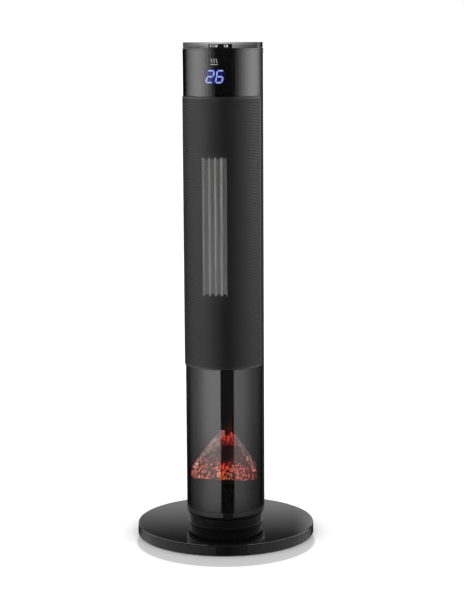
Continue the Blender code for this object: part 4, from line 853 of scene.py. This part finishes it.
@dataclass
class GrillePanel(Assembly):
    """The curved perforated sheet over the middle of the front, punched in staggered round holes."""

    pitch: float = 0.0029
    hole: float = 0.00102
    half_angle: float = math.radians(77)
    outer: float = 0.0676
    thickness: float = 0.0010
    hem_depth: float = 0.0038
    tiers: int = 4
    margin: float = 0.0030

    def lattice(self, columns: int, rows: range, low: float) -> Tuple[np.ndarray, np.ndarray, np.ndarray]:
        """The flat sheet of one tier, cell by cell.

        A cell is a rectangle one pitch wide and ROW_RISE of a pitch high. Every other row is shifted by half
        a pitch. Eight points on the cell's border join the eight points of its hole.

        Args:
            columns: cells in an unshifted row.
            rows: the row numbers of the tier.
            low: height of row 0's lower side.

        Returns:
            Cell borders and hole rims, cells x 8 x 2, and the half cells that close the shifted rows,
            as quads x 4 x 2.
        """
        high = self.pitch * ROW_RISE
        half = self.pitch / 2
        border = np.array([(1, 0), (1, 1), (0, 1), (-1, 1), (-1, 0), (-1, -1), (0, -1), (1, -1)]) * (half, high / 2)
        turn = np.arctan2(border[:, 1], border[:, 0])
        rim = np.stack([np.cos(turn), np.sin(turn)], axis=1) * self.hole
        centres, fillers = [], []
        for row in rows:
            z = low + (row + 0.5) * high
            shift = row % 2
            x = (np.arange(columns - shift) - (columns - shift - 1) / 2) * self.pitch
            centres.append(np.stack([x, np.full_like(x, z)], axis=1))
            if shift:
                edge = columns * half
                for side in (-1, 1):
                    for lift in (-high / 2, 0.0):
                        a, b = sorted((side * edge, side * (edge - half)))
                        foot, head = z + lift, z + lift + high / 2
                        fillers.append([(a, foot), (b, foot), (b, head), (a, head)])
        centre = np.concatenate(centres)
        return centre[:, None] + border, centre[:, None] + rim, np.array(fillers)

    def bend(self, flat: np.ndarray, radius: float) -> np.ndarray:
        """Wrap flat (x, z) points on a cylinder, x being the arc length at the outer face."""
        return around(radius, flat[..., 0] / self.outer, flat[..., 1])

    def tier(self, name: str, rows: range, low: float, ends: Tuple[float, float], columns: int) -> bpy.types.Object:
        """One tier of the sheet as a closed solid: two faces, the walls of its holes and its border."""
        border, rim, fillers = self.lattice(columns, rows, low)
        faces = (self.outer, self.outer - self.thickness)
        edge = columns * self.pitch / 2
        wide = self.half_angle * self.outer
        step = np.array([0, 1, 2, 3, 4, 5, 6, 7, 0])
        rings = np.stack([border[:, step], rim[:, step]], axis=1)
        levels = low + (rows.start + np.arange(2 * len(rows) + 1) / 2) * self.pitch * ROW_RISE
        strips = [np.stack(np.meshgrid(span, levels, indexing="ij"), -1) for span in ((-wide, -edge), (edge, wide))]
        across = np.concatenate([[-wide], -edge + np.arange(2 * columns + 1) * self.pitch / 2, [wide]])
        for z, end in zip((levels[0], levels[-1]), ends):
            if abs(end - z) > WELD:
                strips.append(np.stack(np.meshgrid(across, sorted((z, end)), indexing="ij"), -1))
        solid = Solid()
        for radius in faces:
            solid.bands(self.bend(rings, radius))
            if len(fillers):
                solid.mesh(self.bend(fillers, radius).reshape(-1, 3), np.arange(len(fillers) * 4).reshape(-1, 4))
            for strip in strips:
                solid.grid(self.bend(strip, radius))
        solid.bands(np.stack([self.bend(rim[:, step], radius) for radius in faces], 1))
        ladder = np.unique(np.concatenate([levels, ends]).round(9))
        lines = [np.stack([np.full_like(ladder, x), ladder], -1) for x in (-wide, wide)]
        lines += [np.stack([across, np.full_like(across, end)], -1) for end in ends]
        for line in lines:
            solid.grid(np.stack([self.bend(line, radius) for radius in faces]))
        return self.piece(solid, name, GRILLE_PAINT, Slot.GRILLE_GREY, "mesh_grille", sharp=40)

    def build(self) -> Pieces:
        """Tiers of the sheet and the hems folded into the frame."""
        low, high = (corner[2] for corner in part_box("mesh_grille"))
        cell = self.pitch * ROW_RISE
        rows = int((high - low - 2 * self.margin) / cell)
        columns = int((2 * self.half_angle * self.outer - 2 * self.margin) / self.pitch)
        start = (low + high - rows * cell) / 2
        cuts = [round(rows * t / self.tiers) for t in range(self.tiers + 1)]
        joins = [low, *(start + cut * cell for cut in cuts[1:-1]), high]
        made = [
            self.tier(f"grille_sheet_{t + 1}", range(cuts[t], cuts[t + 1]), start, (joins[t], joins[t + 1]), columns)
            for t in range(self.tiers)
        ]
        hems = Solid()
        inner, deep = self.outer - self.thickness, self.outer - self.hem_depth
        for side in (-1, 1):
            first, second = side * self.half_angle, side * (self.half_angle - self.thickness / self.outer)
            section = ((inner, first), (deep, first), (deep, second), (inner, second))
            ring = np.array([around(radius, angle, np.array([low, high])) for radius, angle in section])
            hems.grid(ring, wrap_rows=True).cap(ring[:, 0]).cap(ring[:, 1])
        return [*made, self.piece(hems, "grille_hems", GRILLE_PAINT, Slot.GRILLE_GREY)]


# ---------------------------------------------------------------- heating core
@dataclass(frozen=True)
class FinMetal(Finish):
    """Bright rolled aluminium that has dulled a little with heat, with painted light: a pale emission in streaks stands
    in for the room's light falling on it.
    """

    lift: float

    def inputs(self, r: Recipe) -> Dict[str, Any]:
        """Work out the finish."""
        cloud = r.noise(120.0, 3.0)
        ridges = r.noise(1.0, 2.0, 0.5, r.stretch(9000.0, 300.0, 9000.0))
        # painted light: streaks of pale emission on the metal, standing in for light that falls on it through the
        # grille
        painted_light_streak = r.noise(1.0, 3.0, 0.6, r.stretch(180.0, 180.0, 60.0)).ramp(0.38, 0.62)
        colour = r.blend(cloud, (0.62, 0.61, 0.60), grey(0.82))
        return dict(
            Base_Color=colour, Metallic=0.4, Roughness=0.38 + ridges * 0.15, Normal=r.relief(ridges, 0.00001),
            Emission_Color=r.blend(painted_light_streak, grey(0.4), (1.0, 1.0, 0.99)), Emission_Strength=self.lift,
        )


@dataclass
class HeatingCore(Assembly):
    """Five standing heater bars with folded fins between them, front to back."""

    bar_pitch: float = 0.0101
    bars: int = 5
    bar_thickness: float = 0.0022
    fold: float = 0.0030
    sheet: float = 0.00028
    play: float = 0.0001
    setback: float = 0.0008
    overhang: float = 0.0030

    def build(self) -> Pieces:
        """The bars and the fins in two pieces."""
        low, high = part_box("ptc_core")
        middle = (low[0] + high[0]) / 2
        places = middle + (np.arange(self.bars) - (self.bars - 1) / 2) * self.bar_pitch
        half = self.bar_thickness / 2
        bars, fins = Solid(), Solid()
        for x in places:
            outline = slab(x - half, low[1], x + half, high[1], 0.0005, 3)
            bars.drum(rolled(outline, low[2], high[2], 0.0004))
        for left in places[:-1]:
            self.add_fin(fins, left + half, low, high)
        # the numbers are the strengths of the painted light on the bars and on the fins
        metals = FinMetal("heater bar aluminium", 0.46), FinMetal("heater fin aluminium", 0.15)
        return [
            self.piece(bars, "heater_bars", metals[0], Slot.ALUMINIUM, "ptc_core"),
            self.piece(fins, "heater_fins", metals[1], Slot.ALUMINIUM),
        ]

    def add_fin(self, fins: Solid, left: float, low: Any, high: Any) -> None:
        """One folded strip: x follows a rounded triangle wave of z, and the strip runs from front to back.

        The wave is arcsin(0.97 sin t), and the sheet's two faces lie half its thickness each side of it.
        """
        width = self.bar_pitch - self.bar_thickness - 2 * self.play
        bottom, top = low[2] + self.overhang, high[2] - self.overhang
        folds = int((top - bottom) / self.fold)
        t = np.arange(folds * 8 + 1) * math.pi / 4
        wave = np.arcsin(0.97 * np.sin(t)) / math.asin(0.97)
        x = left + self.play + width / 2 + wave * (width / 2 - self.sheet)
        line = np.stack([x, bottom + np.linspace(0, top - bottom, len(t))], -1)
        fins.strip(line, self.sheet / 2, low[1] + self.setback, high[1] - self.setback, upright)


# ---------------------------------------------------------------- flame bed
@dataclass(frozen=True)
class Charcoal(Finish):
    """Burnt wood and coals: grey ash with orange sparks that fade upwards from low to high.

    The light ends below at a slanting brim. Round the X place called hearth the coals burn brighter, with a band of
    painted shade over them that dims their glow, and a glowing crown above that band. One field sets how much pale
    light is painted on the surface as speckled glow, standing in for the light that falls on it.
    Limits on x, y and z are metres, and limits on a noise cut it into specks: the closer, the sharper.
    """

    ash: Colour
    heat: float
    low: float
    high: float
    cell: float = 260.0
    painted_light_share: float = 0.02
    hearth: float = 0.009
    brim_slope: float = 0.2415
    brim_height: float = 0.0904

    def inputs(self, r: Recipe) -> Dict[str, Any]:
        """Work out the finish."""
        x, y, z = r.along()
        inputs = {"Vector": r.place(), "Scale": 300.0, "Detail": 3.0}
        warp = r.add_scaled(r.place(), r.node("ShaderNodeTexNoise", inputs=inputs, output="Color"), 0.004)
        crack = r.cells(self.cell, "DISTANCE_TO_EDGE", warp)
        fine = r.noise(1500.0, 3.0, 0.65)
        grit = r.noise(370.0, 1.0, 0.5)
        patch = r.noise(130.0, 1.0, 0.5).ramp(0.40, 0.54)
        brim = (z + y * self.brim_slope - self.brim_height).ramp(-0.0006, 0.0010)
        lowdown = z.ramp(self.high, self.low)
        hearth = abs(x - self.hearth).ramp(0.013, 0.004)
        spark = grit.ramp(0.50, 0.57) * (0.20 + 0.80 * patch)
        faded = 0.55 + 0.45 * x.ramp(0.046, 0.014)
        glow = (crack.ramp(0.10, 0.0) * 0.10 * patch + spark * 0.95) * (0.06 + 0.94 * lowdown) * faded
        # painted shade: a band over the hearth where the glow and the painted light are dimmed
        painted_hollow_shade = 1.0 - 0.88 * hearth * z.between(0.128, 0.137, 0.150, 0.162)
        coals = grit.ramp(0.47, 0.56) * r.noise(210.0, 1.0, 0.5).ramp(0.38, 0.46)
        crown = coals * abs(x - self.hearth).ramp(0.020, 0.006) * z.ramp(0.149, 0.157) * 0.55
        heat = (glow * (0.95 - 0.55 * hearth) + coals * hearth * lowdown * 0.75 + crown).under(1.0) * brim * painted_hollow_shade
        colour = r.blend(fine, tuple(c * 0.30 for c in self.ash), self.ash)
        hue = r.noise(330.0, 1.0)
        warm = r.tint(heat, [
            (0.0, (0.02, 0.001, 0.001)), (0.25, (0.20, 0.006, 0.003)), (0.50, (0.90, 0.03, 0.010)),
            (0.80, (1.0, 0.09, 0.022)), (1.0, (1.0, 0.30, 0.08)),
        ])
        pale = r.tint(heat, [
            (0.0, (0.016, 0.010, 0.009)), (0.25, (0.10, 0.045, 0.04)), (0.50, (0.50, 0.14, 0.115)),
            (0.80, (0.85, 0.30, 0.22)), (1.0, (1.0, 0.62, 0.42)),
        ])
        ember = r.blend(hue.ramp(0.42, 0.58) * (1.0 - hearth * 0.8), warm, pale)
        ember = r.blend(brim * painted_hollow_shade, (0.001, 0.0, 0.0), ember)
        # painted light: pale rosy specks of emission, standing in for light falling on the surface
        painted_light_speck = (grit.ramp(0.495, 0.56) + 0.05) * (0.30 + 0.70 * patch) * brim * painted_hollow_shade * self.painted_light_share
        rosy = r.blend(hearth, (1.0, 0.56, 0.50), (1.0, 0.07, 0.045))
        light = r.add_scaled(ember, r.blend(painted_light_speck, grey(0.0), rosy), 1.0)
        return dict(
            Base_Color=colour, Roughness=0.75 + fine * 0.2, Normal=r.relief(fine * 0.6 + crack.ramp(0.0, 0.25), 0.0006),
            Emission_Color=light, Emission_Strength=self.heat,
        )


@dataclass(frozen=True)
class FlameFilm(Finish):
    """Dark screen with tongues of light on it, each a middle X, a height over the foot, a width and a power."""

    foot: float = 0.130
    tips: Tuple[Tuple[float, float, float, float], ...] = (
        (0.006, 0.078, 0.012, 1.0), (-0.017, 0.056, 0.008, 0.8),
        (0.026, 0.048, 0.008, 0.5), (-0.034, 0.030, 0.008, 0.4),
    )

    def inputs(self, r: Recipe) -> Dict[str, Any]:
        """Work out the finish: each tongue narrows from its foot to its tip and sways with height."""
        x, y, z = r.along()
        sway = (r.noise(38.0, 2.0) - 0.5) * 0.030 + (r.noise(140.0, 2.0) - 0.5) * 0.008
        total = None
        for centre, height, width, power in self.tips:
            share = ((z - self.foot) / height).over(0.0).under(1.0)
            reach = width * (1.0 - share) + 0.001
            body = (1.0 - abs(x - centre + sway * share) / reach).over(0.0) * (1.0 - share) * power
            total = body if total is None else total.over(body)
        light = r.tint(total.under(1.0), [
            (0.0, grey(0.0)), (0.25, (0.08, 0.006, 0.002)), (0.6, (0.45, 0.03, 0.012)), (1.0, (0.9, 0.20, 0.06)),
        ])
        grain = r.noise(1800.0, 2.0)
        return dict(
            Base_Color=r.blend(grain, (0.010, 0.009, 0.009), (0.016, 0.014, 0.014)), Roughness=0.7 + grain * 0.1,
            Emission_Color=light, Emission_Strength=1.6, Normal=r.relief(grain, 0.00003),
        )


@dataclass
class FlameBed(Assembly):
    """The heap of coals with its logs, in front of the flame screen and within the limit of the round wall."""

    radius: float = 0.0585
    rim: float = 0.0060
    coals: int = 110
    front: float = 0.0014
    limit: float = 0.0590
    sides: int = 36

    def height(self, x: np.ndarray, y: np.ndarray) -> np.ndarray:
        """Height of the heap: a peaked mound just right of the middle, with ripples that grow inwards."""
        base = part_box("ember_bed")[0][2]
        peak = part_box("ember_bed")[1][2] - base - 0.001
        share = np.clip(np.hypot(x - 0.002, y * 0.92) / self.radius, 0, 1)
        mound = peak * (0.70 * (1 - share ** 2) + 0.30 * (1 - share) ** 1.25)
        return base + self.rim + mound * (1 + 0.10 * ripple(x, y, seed=5, pitch=60.0)) * 0.93

    def heap(self) -> bpy.types.Object:
        """The mound's skin from the centre of the screen out to the rim, its rim and its flat underside."""
        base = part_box("ember_bed")[0][2]
        angle = np.linspace(-math.pi / 2, math.pi / 2, 97)
        share = np.linspace(0.0, 1.0, 42)[:, None]
        x = self.radius * share * np.sin(angle)
        y = np.minimum(-self.radius * share * np.cos(angle) + 0.0012, self.front)
        rough = ripple(x, y, seed=9, octaves=4, pitch=180.0) * 0.0012 * np.clip((1 - share) * 12, 0, 1)
        top = np.stack([x, y, self.height(x, y) + rough], -1)
        foot = top[-1:].copy()
        foot[..., 2] = base
        under = top[::-1].copy()
        under[..., 2] = base
        solid = Solid().grid(np.concatenate([top, foot, under[1:]]))
        for column in (0, -1):
            solid.grid(np.stack([top[:, column], under[::-1][:, column]]))
        finish = Charcoal("ember heap", (0.12, 0.10, 0.095), 5.5, 0.112, 0.152)
        return self.piece(solid, "ember_heap", finish, Slot.EMBER, "ember_bed", sharp=60)

    def lumps(self) -> bpy.types.Object:
        """Loose coals on the mound.

        Each is a ball whose points are moved out by noise and flattened on a few seeded sides, and the
        coals are laid out along a golden-angle spiral over the front half of the mound.
        """
        dice = np.random.default_rng(21)
        number = np.arange(self.coals)
        reach = self.radius * 0.93 * np.sqrt((number + 0.5) / self.coals)
        angle = (number * GOLDEN_ANGLE) % math.pi - math.pi / 2
        x, y = reach * np.sin(angle), -reach * np.cos(angle)
        y = np.minimum(y, -0.004)
        size = dice.uniform(0.0026, 0.0052, self.coals)
        rows, columns = 9, 12
        lat = np.linspace(0, math.pi, rows)[:, None]
        lon = np.arange(columns) * 2 * math.pi / columns
        ball = np.stack([np.sin(lat) * np.cos(lon), np.sin(lat) * np.sin(lon), np.cos(lat) + 0 * lon], -1)
        ways = unit(dice.normal(size=(self.coals, 6, 3)))
        dots = np.einsum("rck,nfk->nrcf", ball, ways)
        cut = np.min(np.where(dots > 0.2, 0.72 / np.maximum(dots, 0.2), 9.0), axis=3)
        form = np.minimum(1.0, cut)[..., None] * ball
        stretch = dice.uniform(0.75, 1.35, (self.coals, 1, 1, 3))
        form = form * stretch * size[:, None, None, None]
        place = np.stack([x, y, self.height(x, y) + size * 0.25], -1)
        points = form + place[:, None, None]
        points[..., 1] = np.minimum(points[..., 1], self.front)
        flat = np.hypot(points[..., 0], points[..., 1])
        pull = np.minimum(1.0, self.limit / np.maximum(flat, WELD))
        points[..., :2] *= pull[..., None]
        points[..., 2] = np.maximum(points[..., 2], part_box("ember_bed")[0][2] + 0.0001)
        solid = Solid()
        for one in points:
            solid.grid(one, wrap_columns=True)
        finish = Charcoal("loose coals", (0.16, 0.13, 0.125), 6.0, 0.112, 0.146, 330.0, painted_light_share=0.04)
        return self.piece(solid, "ember_coals", finish, Slot.EMBER, sharp=50)

    def add_log(self, solid: Solid, start: Span, end: Span, thick: float, bow: float, seed: int) -> None:
        """A split log from its start to its end.

        Its path bows up by a half sine, its radius tapers and swells, and its bark is raised in ridges
        that run along it and break every few millimetres.
        """
        share = np.linspace(0, 1, 70)
        path = np.array(start) + np.subtract(end, start) * share[:, None]
        path[:, 2] += bow * np.sin(math.pi * share)
        path[:, 0] += 0.0012 * ripple(share, seed=seed, pitch=2.0)
        turn = np.arange(self.sides) * 2 * math.pi / self.sides
        ring = np.stack([np.cos(turn), np.sin(turn)])
        ridge = ripple(ring[0][None] * 1.6, ring[1][None] * 1.6, share[:, None] * 2.2, seed=seed + 1, pitch=1.1)
        knots = ripple(ring[0][None], ring[1][None], share[:, None] * 5, seed=seed + 2, octaves=3, pitch=1.4)
        radius = thick * (1.0 - 0.30 * share) * np.clip(np.sin(math.pi * np.clip(share, 0.02, 0.98)) * 9, 0.25, 1.0)
        solid.drum(tube(path, radius, 0.13 * ridge + 0.09 * knots))

    def logs(self) -> Pieces:
        """Two leaning logs, each with the branch that lies beside it."""
        # the logs get the most painted light, 0.62
        finish = Charcoal("burnt log", (0.42, 0.33, 0.31), 4.2, 0.112, 0.152, 420.0, painted_light_share=0.62)
        plans = {
            "log_left": [
                ((-0.0470, -0.031, 0.1120), (0.000, -0.0085, 0.1770), 0.0066, 0.004, 31),
                ((-0.0220, -0.048, 0.1100), (-0.009, -0.016, 0.1600), 0.0052, 0.003, 41),
            ],
            "log_right": [
                ((0.0520, -0.018, 0.1110), (0.010, -0.0100, 0.1740), 0.0048, 0.009, 51),
                ((0.0160, -0.051, 0.1080), (0.013, -0.020, 0.1480), 0.0042, 0.003, 61),
            ],
        }
        made = []
        for name, logs in plans.items():
            solid = Solid()
            for plan in logs:
                self.add_log(solid, *plan)
            made.append(self.piece(solid, f"{name}_bark", finish, Slot.LOGWOOD, name, sharp=60))
        return made

    def build(self) -> Pieces:
        """The heap, its coals and its logs."""
        return [self.heap(), self.lumps(), *self.logs()]


# ---------------------------------------------------------------- head
@dataclass(frozen=True)
class BlueLight(Finish):
    """Lit digit segments: nearly white in the middle, blue at the edges."""

    def inputs(self, r: Recipe) -> Dict[str, Any]:
        """Work out the finish."""
        grain = r.noise(500.0, 2.0)
        light = r.blend(grain, (0.34, 0.44, 1.0), (0.46, 0.56, 1.0))
        return dict(Base_Color=(0.5, 0.6, 0.9), Roughness=0.4, Emission_Color=light, Emission_Strength=26.0)


@dataclass(frozen=True)
class DisplayFace(Finish):
    """The display's dark face with the digits' light spread in it."""

    middle: Tuple[float, float]

    def inputs(self, r: Recipe) -> Dict[str, Any]:
        """Work out the finish: blue light that falls off with distance from the digits' middle."""
        x, y, z = r.along()
        across = abs(x - self.middle[0]) / 0.0185
        up = abs(z - self.middle[1]) / 0.0135
        far = (across ** 4.0 + up ** 4.0) ** 0.25
        halo = far.ramp(1.0, 0.55)
        grain = r.noise(700.0, 2.0)
        light = r.blend(halo, grey(0.0), (0.012, 0.025, 0.42))
        return dict(
            Base_Color=r.blend(grain, grey(0.002, 0.004), grey(0.004, 0.006)), Roughness=0.25 + grain * 0.05,
            Emission_Color=light, Emission_Strength=9.0,
        )


class Segment(Enum):
    """The seven strokes of a digit, as two ends on a unit cell that is 1 wide and 2 high."""

    TOP = ((0, 2), (1, 2))
    UPPER_LEFT = ((0, 1), (0, 2))
    UPPER_RIGHT = ((1, 1), (1, 2))
    MIDDLE = ((0, 1), (1, 1))
    LOWER_LEFT = ((0, 0), (0, 1))
    LOWER_RIGHT = ((1, 0), (1, 1))
    BOTTOM = ((0, 0), (1, 0))


TWO = (Segment.TOP, Segment.UPPER_RIGHT, Segment.MIDDLE, Segment.LOWER_LEFT, Segment.BOTTOM)
SIX = (Segment.TOP, Segment.UPPER_LEFT, Segment.MIDDLE, Segment.LOWER_LEFT, Segment.LOWER_RIGHT, Segment.BOTTOM)


@dataclass
class HeadFront(Assembly):
    """The display's digits behind the glossy panel and a small heat mark printed on it."""

    digit_width: float = 0.0104
    digit_height: float = 0.0190
    digit_pitch: float = 0.0158
    stroke: float = 0.00115
    sunk: float = 0.0002
    proud: float = 0.0003
    nick: float = 0.0005
    slant: float = math.radians(9)
    centre_x: float = -0.0010
    mark_z: float = 0.7965
    mark_x: float = -0.0010
    wave_pitch: float = 0.0042
    wave_sway: float = 0.0009
    wave_height: float = 0.0070
    bar_half: float = 0.0062
    line_half: float = 0.00045

    def digits(self) -> bpy.types.Object:
        """Each stroke is a flat bar with pointed ends, half a millimetre thick, leaning with the digit."""
        low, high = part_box("led_display")
        middle = (low[2] + high[2]) / 2
        solid = Solid()
        for number, strokes in ((-0.5, TWO), (0.5, SIX)):
            for stroke in strokes:
                ends = (np.array(stroke.value, float) - (0.5, 1.0)) * (self.digit_width, self.digit_height / 2)
                way = unit(ends[1] - ends[0])
                side = np.array([-way[1], way[0]]) * self.stroke
                a, b = ends[0] + way * self.nick, ends[1] - way * self.nick
                tip = way * self.stroke
                flat = np.array([a, a + tip - side, b - tip - side, b, b - tip + side, a + tip + side])
                flat[:, 0] += flat[:, 1] * math.tan(self.slant) + number * self.digit_pitch + self.centre_x
                flat[:, 1] += middle
                solid.drum(np.stack([upright(flat, low[1] - self.proud), upright(flat, low[1] + self.sunk)]))
        piece = self.piece(solid, "display_digits", BlueLight("blue white digit light"), Slot.DISPLAY)
        face = DisplayFace("display face", (self.centre_x, middle))
        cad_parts["led_display"].material_slots[0].material = self.shop.get(face)
        return piece

    def mark(self) -> bpy.types.Object:
        """Three short rising waves over a bar, wrapped on the panel: x sways with a sine of the height."""
        radius = -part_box("head_panel")[0][1]

        def wrap(flat: np.ndarray, lift: float) -> np.ndarray:
            """Put flat points on the panel's cylinder."""
            return around(radius + lift, (self.mark_x + flat[:, 0]) / radius, self.mark_z + flat[:, 1])

        t = np.linspace(0, 1, 25)
        wave = self.wave_sway * np.sin(t * 2 * math.pi)
        lines = [np.stack([i * self.wave_pitch + wave, 0.0008 + t * self.wave_height], -1) for i in (-1, 0, 1)]
        lines.append(np.stack([(2 * t - 1) * self.bar_half, np.full_like(t, -0.0016)], -1))
        solid = Solid()
        for line in lines:
            solid.strip(line, self.line_half, -0.0001, 0.00004, wrap)
        return self.piece(solid, "heat_mark", Moulding("printed grey ink", grey(0.38, 0.01), 0.45), Slot.SILVER_KEY)

    def build(self) -> Pieces:
        """The digits and the mark."""
        return [self.digits(), self.mark()]


# ---------------------------------------------------------------- keys in the riser
@dataclass
class TopKeys(Assembly):
    """The two push keys with rolled edges and a shallow dish in their faces."""

    corner: float = 0.0008
    edge: float = 0.0005
    dish: float = 0.00035
    flange: float = 0.0010
    inset_x: float = 0.0006
    inset_z: float = 0.0004

    def key(self, node: str, body: str) -> bpy.types.Object:
        """A key whose outline stands in X and Z and runs back along Y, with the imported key's size."""
        low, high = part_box(node)
        step = high[1] - self.flange
        dx, dz = self.inset_x, self.inset_z
        outline = slab(low[0] + dx, low[2] + dz, high[0] - dx, high[2] - dz, self.corner, 4)
        stand = rolled(outline, low[1], step, self.edge, 4)[..., [0, 2, 1]]
        middle = stand[0].mean(0)
        share = np.linspace(1.0, 0.05, 7)[:, None]
        rings = middle + (stand[0] - middle) * share[..., None]
        rings[..., 1] += self.dish * (1 - share ** 2)
        solid = Solid().grid(rings, wrap_columns=True).cap(rings[-1])
        solid.grid(stand, wrap_columns=True).cap(stand[-1])
        plate = slab(low[0], low[2], high[0], high[2], 0.0003, 2)
        solid.drum(rolled(plate, step, high[1], 0.0001, 2)[..., [0, 2, 1]])
        return self.piece(solid, f"{node}_cap", FINISHES[Slot.SILVER_KEY], Slot.SILVER_KEY, node, body=body, sharp=50)

    def build(self) -> Pieces:
        """Both keys."""
        return [self.key("power_key", "power_button"), self.key("mode_key", "mode_button")]


# ---------------------------------------------------------------- carried-over pieces
@dataclass
class HiddenParts:
    """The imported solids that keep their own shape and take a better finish."""

    shop: Shop

    def dress(self) -> None:
        """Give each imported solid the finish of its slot, or its own where it has one."""
        low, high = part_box("rocker")
        black = grey(0.0015, 0.0003)
        lacquer = BaseLacquer("base disc black")
        own = {
            "rocker": MarkedRocker("marked rocker black", (low[2] + high[2]) / 2, (high[2] - low[2]) / 2),
            "neck": Moulding("dull black collar", grey(0.0025, 0.0003), 0.26, 1600.0, 0.000004, ior=1.26),
            "ptc_frame": Moulding("dark heatproof plastic", grey(0.012), 0.6),
            "base_front_half": lacquer,
            "base_rear_half": lacquer,
            "head_panel": Moulding(
                "dark see-through acrylic", black, 0.07, 700.0, 0.000002, smear=0.03, alpha=0.82, ior=1.56
            ),
            "flame_screen": FlameFilm("flame screen film"),
        }
        for name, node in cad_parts.items():
            for place in node.material_slots:
                place.material = self.shop.get(own.get(name, FINISHES[Slot(place.material.name.split(".")[0])]))


def main() -> None:
    """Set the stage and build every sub-assembly in order."""
    logging.basicConfig(level=logging.INFO, format="%(name)s %(message)s")
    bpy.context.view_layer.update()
    shop = Shop()
    HiddenParts(shop).dress()
    Studio().build()
    for assembly in (GrillePanel(shop), HeatingCore(shop), FlameBed(shop), HeadFront(shop), TopKeys(shop)):
        for piece in assembly.build():
            LOG.info("%s: %s, %d faces", type(assembly).__name__, piece.name, len(piece.data.polygons))


if __name__ == "__main__":
    main()
